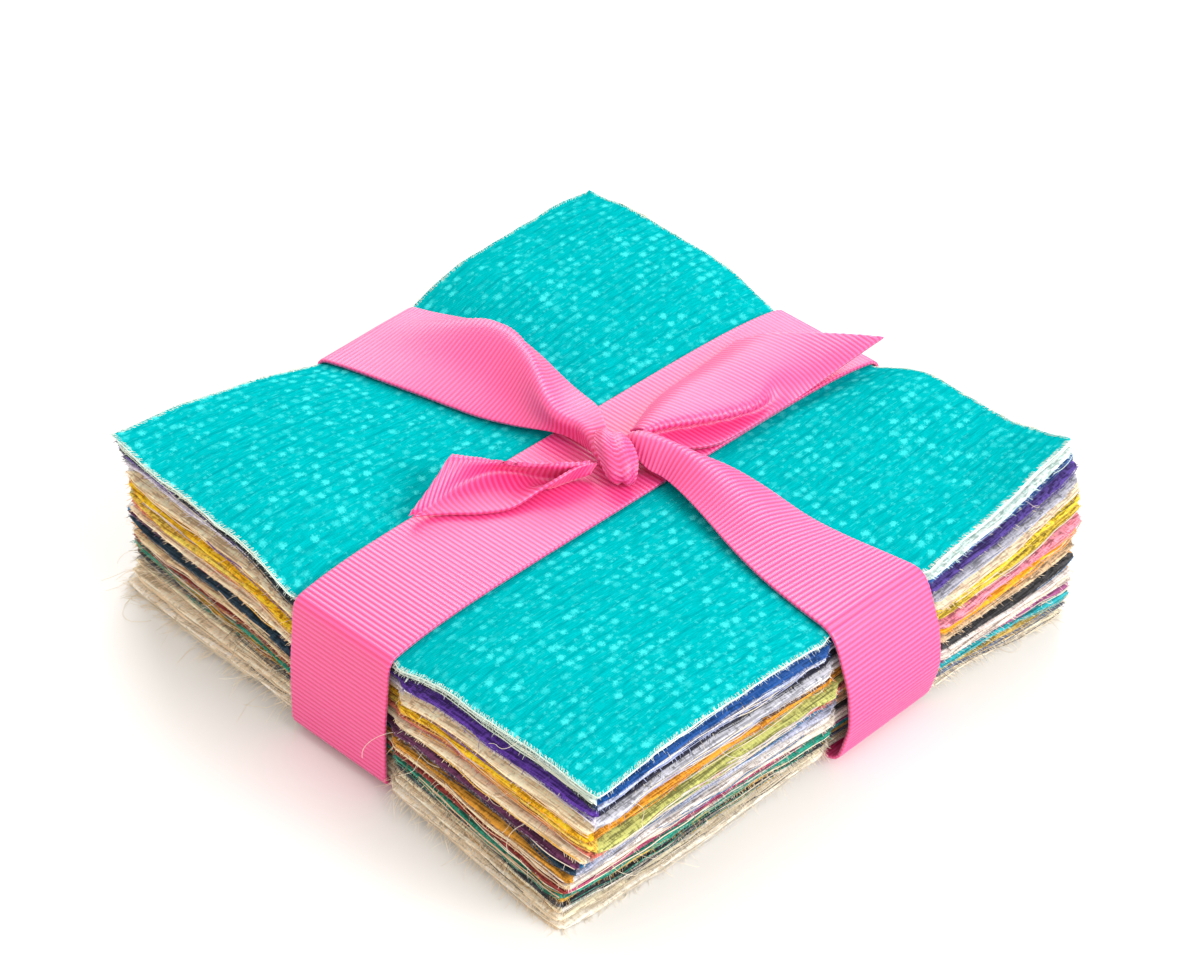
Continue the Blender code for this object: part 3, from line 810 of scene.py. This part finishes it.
def build_squares():
    made = []
    strand = yarn_material("loose_cream_yarn", (246, 232, 206), 0.6)
    yarns = [
        [yarn_material(f"square_{i + 1:02d}_{side}_yarn", row[k]) for k, side in ((4, "y"), (5, "x"), (6, "far"))]
        for i, row in enumerate(SQUARES)
    ]
    for number, row in enumerate(SQUARES):
        name = f"square_{number + 1:02d}"
        face = print_material(name) if number == 0 else cloth_material(name, row[3])
        y_yarn, x_yarn, far_yarn = yarns[number]
        above = yarns[number - 2 if number > 3 else number][:2]
        if number == 0:
            rings = [0, 0.4, 0.9, 1.6] + list(np.arange(2.6, 62.5, 1.7))
            verts, tris, kinds = sheet_mesh(number, 150, rings, UNDER_RINGS)
            rims = [y_yarn, x_yarn, far_yarn]
        else:
            verts, tris, kinds = sheet_mesh(number, 90, LOWER_RINGS, UNDER_RINGS)
            depth = 0.8 if number > 17 or min(row[4]) > 120 else 0.5
            rims = [
                cloth_material(name + "_y_edge", row[4], cut="X", clump=0.6, depth=depth),
                cloth_material(name + "_x_edge", row[5], cut="Y", clump=0.95 if number == SPECKLED else 0.5, depth=depth),
                cloth_material(name + "_far_edge", row[6], cut="Y", clump=0.95 if number == SPECKLED else 0.5, depth=depth),
            ]
        obj = make_piece("cloth_" + name, verts, tris, [face, *rims], kinds)
        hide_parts(name)
        batches, rng = fray(number)
        verts, tris, kinds = join(batches)
        loose = loose_strands(number, rng)
        if loose:
            v2, t2, k2 = join(loose)
            tris = np.vstack([tris, t2 + len(verts)])
            verts = np.vstack([verts, v2])
            kinds = np.concatenate([kinds, np.full(len(t2), 2)])
        edge = make_piece("fray_" + name, verts, tris, [y_yarn, x_yarn, strand, *above, far_yarn], kinds)
        made.append((obj, edge))
    return made


# ------------------------------------------------------------------- the ribbon
RIB_PITCH = 1.0
RIB_DEPTH = 0.16
BAND = 0.5  # thickness of the ribbon that shows
STEP = 0.27
EDGE_SHARES = [0, 0.012, 0.035, 0.06]


def shares(inner):
    """Places across the ribbon, close together at its selvages."""
    ends = [1 - share for share in reversed(EDGE_SHARES)]
    return np.array(EDGE_SHARES + list(np.linspace(0.06, 0.94, inner + 2)[1:-1]) + ends)


BAND_ACROSS = shares(1)
ARM_ACROSS = shares(12)
TAIL_ACROSS = shares(16)


def convex(points):
    points = sorted(set(points))

    def half(sequence):
        chain = []
        for p in sequence:
            while len(chain) > 1 and (chain[-1][0] - chain[-2][0]) * (
                p[1] - chain[-2][1]
            ) <= (chain[-1][1] - chain[-2][1]) * (p[0] - chain[-2][0]):
                chain.pop()
            chain.append(p)
        return chain[:-1]

    return half(points) + half(list(reversed(points)))


def outline_round_stack(along_y):
    """Taut outline of the stack's section under one run of the ribbon."""
    found = []
    reach = RIBBON_WIDTH / 2
    for number, row in enumerate(SQUARES):
        level = COUNT - 1 - number
        for side in (-HALF, HALF):
            other = np.arange(-30, 31) * 1.0
            edge = np.full(61, side)
            u, v = (other, edge) if along_y else (edge, other)
            x, y = place_on_square(row, u, v)
            off = (x - run_x(y)) if along_y else (y - run_y(x))
            near = np.abs(off) <= reach + 0.6
            x, y = x[near], y[near]
            z, _ = stack_height(level, x, y)
            along = y if along_y else x
            found += list(zip(along, z)) + list(zip(along, z + SHEET))
    place = np.linspace(-1, 1, 25) * (HALF - 1)
    for off in np.linspace(-reach, reach, 5):
        x, y = (run_x(place) + off, place) if along_y else (place, run_y(place) + off)
        found += list(zip(place, stack_height(0, x, y)[0]))
        found += list(zip(place, stack_height(COUNT - 1, x, y)[0] + SHEET))
    return found


def offset_outline(hull, distance):
    count = len(hull)
    moved = []
    for i in range(count):
        before, here, after = hull[i - 1], hull[i], hull[(i + 1) % count]
        a = atan2(here[1] - before[1], here[0] - before[0]) - pi / 2
        b = atan2(after[1] - here[1], after[0] - here[0]) - pi / 2
        while b < a:
            b += 2 * pi
        parts = max(1, int((b - a) / 0.12))
        for k in range(parts + 1):
            angle = a + (b - a) * k / parts
            moved.append((here[0] + distance * cos(angle), here[1] + distance * sin(angle)))
    return np.array(moved)


def resample(*lines, step=STEP, closed=False):
    """Stations evenly spaced along the mean of several matching lines."""
    if closed:
        lines = [np.vstack([line, line[:1]]) for line in lines]
    middle = sum(lines[:2]) / 2 if len(lines) > 1 else lines[0]
    length = np.concatenate([[0], np.cumsum(np.linalg.norm(np.diff(middle[:, :3], axis=0), axis=1))])
    count = max(4, int(round(length[-1] / step)))
    if closed:
        ribs = max(1, round(length[-1] / RIB_PITCH))
        at = np.linspace(0, length[-1], count, endpoint=False)
        return [np.stack([np.interp(at, length, c) for c in line.T], -1) for line in lines], at * (
            ribs * RIB_PITCH / length[-1]
        )
    at = np.linspace(0, length[-1], count)
    return [np.stack([np.interp(at, length, c) for c in line.T], -1) for line in lines], at


def soften(line, rounds, closed=False):
    line = line.copy()
    for _ in range(rounds):
        if closed:
            line = (np.roll(line, 1, 0) + 2 * line + np.roll(line, -1, 0)) / 4
        else:
            line[1:-1] = (line[:-2] + 2 * line[1:-1] + line[2:]) / 4
    return line


def across_points(rows, per_span=30, samples=8, midpoints=False, sag=0.0):
    """A surface through rows of control points that run from selvage to selvage.

    With midpoints the parts between them are nearly flat, but the first sags by a
    share of its rise.
    """
    rows = np.array(rows, float)
    if midpoints:
        points = rows.reshape(len(rows), -1, 3)
        both = [points[:, :1]]
        for i in range(points.shape[1] - 1):
            middle = (points[:, i : i + 1] + points[:, i + 1 : i + 2]) / 2
            if i == 0:
                middle[..., 2] -= sag * np.maximum(0, points[:, 1:2, 2] - points[:, 0:1, 2])
            both += [middle, points[:, i + 1 : i + 2]]
        rows = np.concatenate(both, 1).reshape(len(rows), -1)
    along = catmull(rows, per_span)
    count = along.shape[1] // 3
    lines = along.reshape(len(along), count, 3).transpose(1, 0, 2).reshape(count, -1)
    return catmull(lines, samples).reshape(-1, len(along), 3).transpose(1, 0, 2)


def even(surface, places, step=STEP):
    """The surface with even stations along it and set places across it."""
    out = np.empty((len(surface), len(places), 3))
    for i, row in enumerate(surface):
        d = np.concatenate([[0], np.cumsum(np.linalg.norm(np.diff(row, axis=0), axis=1))])
        for c in range(3):
            out[i, :, c] = np.interp(places * d[-1], d, row[:, c])
    middle = out.mean(axis=1)
    d = np.concatenate([[0], np.cumsum(np.linalg.norm(np.diff(middle, axis=0), axis=1))])
    at = np.linspace(0, d[-1], max(4, int(round(d[-1] / step))))
    place = np.interp(at, d, np.arange(len(d)))
    i = np.minimum(place.astype(int), len(d) - 2)
    f = (place - i)[:, None, None]
    return out[i] * (1 - f) + out[i + 1] * f, at


def strip(surface, at, across, closed=False, rib_shift=0.0, up=None, outward_from=None, rib=1.0, pleat=0.0):
    """A ribbed band on a surface: closed mesh arrays and its UV in mm."""

    def normals(p):
        if closed:
            along = np.roll(p, -1, 0) - np.roll(p, 1, 0)
        else:
            along = np.gradient(p, axis=0)
        return unit(np.cross(along, np.gradient(p, axis=1)))

    n = normals(surface)
    facing = up if up is not None else surface - outward_from
    flip = 1.0 if (n * facing).sum() > 0 else -1.0
    n = n * flip
    phase = at[:, None] + rib_shift + 0 * across[None, :]
    near_edge = np.minimum(across, 1 - across)
    selvage = smooth(near_edge / 0.05)[None, :]
    ribs = rib * RIB_DEPTH * (0.5 + 0.5 * np.cos(2 * pi * phase / RIB_PITCH)) * (0.55 + 0.45 * selvage)
    surface = surface - n * (pleat * np.cos(4 * pi * across) * np.sin(pi * across))[None, :, None]
    bead = 0.05 * np.exp(-(((near_edge - 0.02) / 0.015) ** 2))[None, :]
    top = surface + n * (BAND / 2 + ribs + bead)[..., None]
    low = surface - n * (BAND / 2 + 0.6 * ribs)[..., None]
    rows, cols = top.shape[:2]
    verts = np.vstack([top.reshape(-1, 3), low.reshape(-1, 3)])
    index = np.arange(rows * cols).reshape(rows, cols)
    if closed:
        index = np.vstack([index, index[:1]])
    a, b, c, d = index[:-1, :-1], index[1:, :-1], index[1:, 1:], index[:-1, 1:]
    under = rows * cols
    tris = [quads(a, b, c, d), quads(a + under, d + under, c + under, b + under)]
    left, right = index[:, 0], index[:, -1]
    tris.append(quads(left[:-1], left[:-1] + under, left[1:] + under, left[1:]))
    tris.append(quads(right[:-1], right[1:], right[1:] + under, right[:-1] + under))
    if not closed:
        first, last = index[0], index[-1]
        tris.append(quads(first[:-1], first[1:], first[1:] + under, first[:-1] + under))
        tris.append(quads(last[:-1], last[:-1] + under, last[1:] + under, last[1:]))
    tris = np.vstack(tris)
    if flip < 0:
        tris = tris[:, ::-1]
    wide = np.broadcast_to(across * RIBBON_WIDTH, (rows, cols))
    uv = np.vstack([np.stack([phase, wide], -1).reshape(-1, 2)] * 2)
    return verts, tris, uv


def cut_off(part, start, end, keep):
    """The part with its end cut along the upright plane through two plan points."""
    verts, tris, uv = part
    body = bmesh.new()
    along, wide = body.verts.layers.float.new("along"), body.verts.layers.float.new("wide")
    made = []
    for place, (u, v) in zip(verts.tolist(), uv.tolist()):
        vert = body.verts.new(place)
        vert[along], vert[wide] = u, v
        made.append(vert)
    for a, b, c in tris.tolist():
        body.faces.new((made[a], made[b], made[c]))
    side = Vector((end[1] - start[1], start[0] - end[0], 0))
    if side.dot(Vector((keep[0] - start[0], keep[1] - start[1], 0))) > 0:
        side = -side
    found = bmesh.ops.bisect_plane(
        body,
        geom=body.verts[:] + body.edges[:] + body.faces[:],
        dist=1e-6,
        plane_co=(*start, 0),
        plane_no=side,
        clear_outer=True,
    )
    rim = [g for g in found["geom_cut"] if isinstance(g, bmesh.types.BMEdge)]
    bmesh.ops.triangle_fill(body, use_beauty=True, use_dissolve=False, edges=rim)
    bmesh.ops.triangulate(body, faces=body.faces[:])
    bmesh.ops.recalc_face_normals(body, faces=body.faces[:])
    body.verts.index_update()
    verts = np.array([vert.co[:] for vert in body.verts])
    uv = np.array([(vert[along], vert[wide]) for vert in body.verts])
    tris = np.array([[vert.index for vert in face.verts] for face in body.faces])
    body.free()
    return verts, tris, uv


# The arms over the top, from the stack's edge to the knot, as points across the
# ribbon. The left one stands up in a ridge beside its far selvage, runs over the
# knot as its first wrap and tucks in below.
# columns: near selvage x, y, z; ridge x, y, z; far selvage x, y, z
LEFT_ARM = (
    (-63.2, -12.4, 30.75, -63.2, 3.0, 30.9, -63.2, 12.0, 30.9),
    (-55.0, -11.3, 31.9, -56.0, 5.2, 33.0, -57.0, 12.5, 32.2),
    (-45.0, -10.0, 32.8, -47.4, 8.8, 36.2, -49.2, 13.8, 33.9),
    (-38.0, -8.6, 33.0, -40.0, 11.3, 38.8, -43.2, 16.4, 34.2),
    (-31.0, -7.2, 33.1, -32.6, 10.8, 40.0, -37.0, 16.2, 34.6),
    (-24.5, -5.7, 33.2, -25.0, 7.8, 40.4, -29.0, 14.8, 34.8),
    (-18.3, -3.7, 33.6, -18.6, 4.1, 40.1, -21.5, 12.4, 35.6),
    (-13.9, -2.2, 34.2, -13.4, 1.0, 39.6, -15.5, 10.3, 36.6),
    (-10.4, -0.8, 34.8, -9.8, -0.1, 38.9, -10.2, 8.7, 37.6),
    (-7.4, 0.2, 34.9, -6.9, 0.3, 38.4, -6.2, 7.4, 38.5),
    (-4.4, 0.6, 34.8, -4.5, 0.7, 38.3, -3.2, 5.7, 39.0),
    (-1.8, 0.5, 34.7, -2.3, 0.2, 38.2, 0.4, 3.3, 39.3),
    (0.6, 0.3, 34.4, -0.3, -0.3, 37.6, 2.4, 1.5, 38.6),
    (2.0, 0.1, 34.0, 2.6, -1.7, 36.5, 4.4, -0.4, 37.5),
    (3.2, 0.4, 33.8, 4.5, -1.7, 34.8, 5.7, -1.4, 35.0),
    (4.0, 1.0, 33.6, 4.9, 0.2, 33.8, 5.8, 0.2, 33.8),
)
# columns: near selvage x, y, z; middle x, y, z; far selvage x, y, z
RIGHT_ARM = (
    (63.2, -4.3, 31.1, 63.2, 8.2, 31.2, 63.2, 20.6, 30.9),
    (54.0, -4.0, 32.0, 55.0, 7.2, 32.2, 56.0, 18.4, 31.9),
    (45.3, -3.2, 32.8, 46.6, 6.6, 33.4, 48.0, 16.4, 32.6),
    (36.4, -1.4, 33.5, 38.0, 7.2, 34.6, 39.9, 15.4, 33.1),
    (28.2, 0.8, 34.2, 29.0, 8.6, 36.2, 29.6, 15.6, 33.8),
    (21.2, 2.6, 34.6, 21.8, 9.4, 37.5, 21.5, 14.8, 34.6),
    (14.8, 3.9, 34.6, 14.8, 8.4, 38.6, 14.7, 12.4, 35.6),
    (11.2, 3.2, 35.2, 10.6, 6.6, 39.5, 9.4, 10.4, 37.0),
    (8.2, 3.0, 36.8, 7.4, 5.3, 39.7, 5.6, 8.4, 38.0),
    (6.0, 3.4, 37.2, 5.1, 5.2, 38.9, 3.8, 7.0, 37.6),
    (3.8, 4.0, 36.0, 3.2, 5.2, 36.6, 2.6, 6.2, 36.4),
)
# The far tail lies flat but for one pleat beside its right selvage, which opens
# out away from the knot.
# columns: left selvage x, y, z; crest x, y, z; fold x, y, z; inner fold x, y, z;
#          right selvage x, y, z
TAIL_FAR = (
    (2.2, 8.0, 36.4, 4.0, 8.2, 38.0, 5.5, 8.4, 38.1, 4.4, 8.3, 36.2, 7.0, 8.6, 35.4),
    (0.4, 12.0, 35.6, 3.2, 12.3, 38.3, 7.6, 12.9, 38.3, 5.0, 12.6, 35.6, 11.0, 13.3, 34.3),
    (-1.8, 17.0, 35.0, 2.6, 17.5, 38.2, 10.4, 18.5, 38.0, 7.0, 18.1, 34.9, 14.0, 18.8, 33.9),
    (-3.4, 23.0, 34.6, 2.0, 23.7, 37.9, 12.6, 25.0, 37.4, 9.8, 24.6, 34.5, 14.8, 25.3, 33.8),
    (-4.0, 30.0, 34.4, 2.0, 30.8, 37.6, 13.0, 32.1, 36.8, 12.4, 32.0, 34.5, 15.2, 32.4, 33.9),
    (-4.4, 38.0, 34.6, 1.4, 38.7, 37.4, 9.0, 39.6, 37.3, 13.2, 40.1, 35.6, 15.4, 40.4, 34.0),
    (-4.5, 46.0, 35.2, 0.8, 46.7, 37.1, 7.0, 47.4, 37.2, 12.4, 48.1, 36.2, 15.6, 48.5, 34.7),
    (-4.4, 55.0, 35.9, 0.8, 55.7, 37.1, 6.6, 56.4, 37.5, 12.4, 57.1, 37.0, 16.2, 57.6, 36.0),
    (-4.4, 66.0, 36.6, 1.0, 66.7, 37.3, 7.0, 67.4, 37.9, 12.8, 68.1, 37.8, 17.0, 68.7, 37.3),
    (-4.4, 74.0, 36.9, 1.0, 74.7, 37.6, 7.0, 75.4, 38.3, 13.0, 76.1, 38.4, 17.4, 76.7, 38.1),
)
TAIL_FAR_CUT = ((-4.4, 44.6), (16.9, 64.0))
# The near tail is a trough open to the viewer: its upper side stands up and rolls
# back at the rim, its lower one curls up beside the knot.
# columns: back selvage x, y, z; rim x, y, z; floor x, y, z; floor x, y, z;
#          front selvage x, y, z
TAIL_NEAR = (
    (3.4, -4.0, 34.6, 4.2, -5.0, 37.6, 4.2, -5.2, 35.6, 4.8, -5.4, 35.6, 4.8, -3.7, 37.0),
    (0.6, -6.0, 34.2, 2.3, -9.2, 38.5, 0.9, -8.3, 34.4, 2.1, -8.5, 34.0, 3.7, -7.1, 37.6),
    (-2.4, -8.9, 34.0, -0.3, -12.0, 38.6, -2.6, -11.3, 34.0, 0.7, -12.3, 33.8, 3.1, -11.8, 37.1),
    (-5.6, -12.1, 34.2, -3.8, -15.0, 38.4, -6.5, -13.5, 34.2, -2.2, -15.4, 33.8, 1.7, -15.9, 35.5),
    (-8.6, -15.8, 35.4, -7.9, -17.3, 38.0, -9.6, -17.7, 34.6, -4.8, -20.4, 33.8, 0.3, -21.8, 34.1),
    (-11.4, -19.6, 37.2, -10.8, -20.6, 38.7, -11.0, -24.4, 34.7, -7.9, -26.1, 33.9, -3.1, -27.0, 33.9),
    (-13.9, -22.8, 37.9, -13.3, -23.8, 39.5, -10.9, -30.1, 35.2, -9.8, -31.0, 34.2, -7.1, -31.2, 33.9),
    (-16.3, -25.9, 38.6, -15.8, -26.9, 40.3, -10.8, -36.0, 35.8, -11.0, -36.3, 34.7, -10.5, -36.1, 34.1),
    (-18.9, -29.0, 39.4, -18.4, -30.0, 41.1, -10.9, -41.6, 36.4, -11.9, -41.7, 35.2, -12.7, -41.5, 34.4),
)
TAIL_NEAR_CUT = ((-13.6, -23.6), (-10.6, -36.0))
# The second wrap comes up out of the knot, over towards the viewer and down.
# columns: left edge x, y, z; middle x, y, z; right edge x, y, z
WRAP = (
    (-2.6, 4.6, 35.4, 0.0, 4.8, 36.4, 2.6, 5.6, 35.8),
    (-0.6, 1.6, 38.4, 2.8, 1.9, 39.8, 5.8, 3.7, 38.6),
    (1.8, -1.2, 38.9, 5.9, -0.7, 40.2, 9.0, 2.2, 38.4),
    (4.8, -3.0, 37.8, 8.8, -2.4, 39.0, 11.0, 0.7, 37.4),
    (7.2, -3.9, 36.2, 10.4, -3.3, 36.9, 11.6, -0.4, 35.7),
    (8.2, -3.0, 34.6, 10.4, -2.5, 34.9, 11.2, -0.8, 34.4),
    (7.6, 0.2, 33.9, 8.2, 0.4, 33.9, 8.6, 0.9, 33.9),
)
CHEVRON = 3.0  # how far the wrap's ribs run ahead in its middle
KNOT_AT = (2.8, 3.2, 35.4)
KNOT_REACH = (3.6, 3.4, 2.5)
UP = np.array([0, 0, 1.0])


def build_ribbon():
    parts = []
    middle = np.array([0, 0, 16.0])
    half = RIBBON_WIDTH / 2

    # the run along Y, all the way round
    hull = convex([(round(float(a), 3), round(float(b), 3)) for a, b in outline_round_stack(True)])
    path = offset_outline(hull, GAP + 0.45)
    line = np.stack([np.zeros(len(path)), path[:, 0], path[:, 1]], -1)
    (line,), at = resample(line, closed=True)
    line = soften(line, 40, closed=True)
    offset = run_x(line[:, 1])[:, None] + (BAND_ACROSS - 0.5) * RIBBON_WIDTH
    surface = np.repeat(line[:, None], len(BAND_ACROSS), axis=1)
    surface[..., 0] = offset
    parts.append(strip(surface, at, BAND_ACROSS, closed=True, outward_from=middle))

    # the run along X: from the knot out, down, under, up and back to the knot
    points = outline_round_stack(False)
    lower = RIBBON_THICK + GAP
    points += [(run_x(0) - 13.0, lower), (run_x(0) + 13.0, lower)]
    hull = convex([(round(float(a), 3), round(float(b), 3)) for a, b in points])
    path = offset_outline(hull, GAP + 0.45)
    path = path[path[:, 1] < 29.2]
    for turn in (1, -1):
        path = path[::turn]
        start = int(np.argmax(np.where(path[:, 0] < 0, path[:, 1], -99)))
        path = np.roll(path, -start, axis=0)  # starts at the top of the -X face
        if path[1, 1] < path[0, 1]:
            break
    left = across_points(LEFT_ARM, midpoints=True, sag=0.16)[::-1]
    right = across_points(RIGHT_ARM)
    share = np.linspace(0, 1, left.shape[1])
    wide = np.linspace(0, 1, right.shape[1])
    down = np.empty((len(path), len(share), 3))
    down[..., 0] = path[:, :1]
    down[..., 1] = run_y(path[:, :1]) + (share - 0.5) * RIBBON_WIDTH
    down[..., 2] = path[:, 1:]
    right = np.stack([right[:, np.rint(v * (len(wide) - 1)).astype(int)] for v in share], 1)
    surface, at = even(np.concatenate([left, down, right]), ARM_ACROSS)
    surface = soften(surface, 14)
    # taut round the stack's top edges: rounder there than over the top
    reach = np.abs(surface[:, len(ARM_ACROSS) // 2, 0])
    rounder = soften(surface, 40)
    blend = (smooth((reach - 50) / 8))[:, None, None]
    surface = surface * (1 - blend) + rounder * blend
    parts.append(strip(surface, at, ARM_ACROSS, outward_from=middle))

    for rows, cut, keep in ((TAIL_FAR, TAIL_FAR_CUT, (2, 10)), (TAIL_NEAR, TAIL_NEAR_CUT, (2, -3))):
        surface, at = even(across_points(rows, 24), TAIL_ACROSS)
        parts.append(cut_off(strip(surface, at, TAIL_ACROSS, up=UP), *cut, keep))

    surface, at = even(across_points(WRAP, 24), ARM_ACROSS)
    lead = -CHEVRON * (1 - np.abs(2 * ARM_ACROSS - 1))[None, :]
    parts.append(strip(surface, at, ARM_ACROSS, rib_shift=lead, outward_from=np.array([3.0, 3.5, 34.5]), rib=1.9, pleat=0.4))

    # what fills the knot between its wraps
    rows, cols = 24, 36
    theta = np.linspace(0.02, pi - 0.02, rows)[:, None]
    phi = (np.arange(cols) / cols * 2 * pi)[None, :]
    swell = 1 + 0.06 * np.cos(3 * phi + 1) * np.sin(theta)
    core = np.stack(
        [
            KNOT_AT[0] + KNOT_REACH[0] * swell * np.sin(theta) * np.cos(phi),
            KNOT_AT[1] + KNOT_REACH[1] * swell * np.sin(theta) * np.sin(phi),
            np.maximum(33.4, KNOT_AT[2] + KNOT_REACH[2] * np.cos(theta) * swell),
        ],
        -1,
    )
    index = np.arange(rows * cols).reshape(rows, cols)
    wrap = np.hstack([index, index[:, :1]])
    f = [quads(wrap[:-1, :-1], wrap[1:, :-1], wrap[1:, 1:], wrap[:-1, 1:])]
    verts = np.vstack([core.reshape(-1, 3), core[0].mean(0)[None], core[-1].mean(0)[None]])
    f.append(np.stack([wrap[0, :-1], wrap[0, 1:], np.full(cols, rows * cols)], -1))
    f.append(np.stack([wrap[-1, 1:], wrap[-1, :-1], np.full(cols, rows * cols + 1)], -1))
    uv = np.stack([verts[:, 0] * 1.0, verts[:, 1] * 1.0], -1)
    parts.append((verts, np.vstack(f), uv))

    verts, tris, uvs, at = [], [], [], 0
    for v, f, uv in parts:
        verts.append(v)
        tris.append(f + at)
        uvs.append(uv)
        at += len(v)
    obj = make_piece(
        "grosgrain_ribbon",
        np.vstack(verts),
        np.vstack(tris),
        [ribbon_material("ribbon_grosgrain")],
        uv=np.vstack(uvs),
    )
    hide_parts("ribbon")
    return obj


# -------------------------------------------------------- stage, light, camera
def area_light(name, energy, size, location, target, colour=(1, 1, 1)):
    data = bpy.data.lights.new(name, "AREA")
    data.shape = "RECTANGLE"
    data.size, data.size_y = size
    data.energy = energy
    data.color = colour
    obj = bpy.data.objects.new(name, data)
    obj.location = location
    obj.rotation_euler = (Vector(target) - Vector(location)).to_track_quat("-Z", "Y").to_euler()
    bpy.context.scene.collection.objects.link(obj)


CAMERA_TARGET = (-9.67, 11.84, 14.0)  # mm
CAMERA_DISTANCE = 688.46
CAMERA_AZIMUTH = 44.35
CAMERA_ELEVATION = 38.23
CAMERA_LENS = 106.33


def build_stage():
    a, e = radians(CAMERA_AZIMUTH), radians(CAMERA_ELEVATION)
    back = Vector((sin(a) * cos(e), -cos(a) * cos(e), sin(e)))
    right = Vector((cos(a), sin(a), 0))
    up = back.cross(right)
    data = bpy.data.cameras.new("camera")
    data.lens = CAMERA_LENS
    data.sensor_width = 36
    data.clip_start = 0.05
    camera = bpy.data.objects.new("camera", data)
    at = (Vector(CAMERA_TARGET) + back * CAMERA_DISTANCE) * MM
    rotation = Matrix((right, up, back)).transposed()
    camera.matrix_world = Matrix.Translation(at) @ rotation.to_4x4()
    bpy.context.scene.collection.objects.link(camera)
    bpy.context.scene.camera = camera

    size = 3.0
    mesh = bpy.data.meshes.new("floor")
    mesh.from_pydata(
        [(-size, -size, 0), (size, -size, 0), (size, size, 0), (-size, size, 0)], [], [(0, 1, 2, 3)]
    )
    floor = bpy.data.objects.new("floor", mesh)
    bpy.context.scene.collection.objects.link(floor)
    m = new_material("floor")
    k = Nodes(m)
    where = k.add("ShaderNodeTexCoord").outputs["Object"]
    tone = k.noise(where, 2.0, 2.0)
    c = k.mix(tone, (0.765, 0.755, 0.74), (0.785, 0.775, 0.76))
    k.shader(c, None, 0.7)
    mesh.materials.append(m)

    world = bpy.data.worlds.new("studio")
    bpy.context.scene.world = world
    world.use_nodes = True
    background = world.node_tree.nodes["Background"]
    background.inputs[0].default_value = (1.0, 0.955, 0.905, 1)
    background.inputs[1].default_value = 1.15
    # window light from the right and a softer one from behind on the left
    area_light("key", 20.5, (0.9, 0.8), (1.25, 0.22, 0.82), (0, 0, 0.02), (0.98, 0.99, 1.0))
    area_light("window", 13.5, (1.0, 0.8), (-0.8, 0.85, 0.9), (0, 0, 0.03), (0.96, 0.98, 1.0))


bpy.context.scene.view_settings.view_transform = "Standard"
squares = build_squares()
ribbon = build_ribbon()
build_stage()
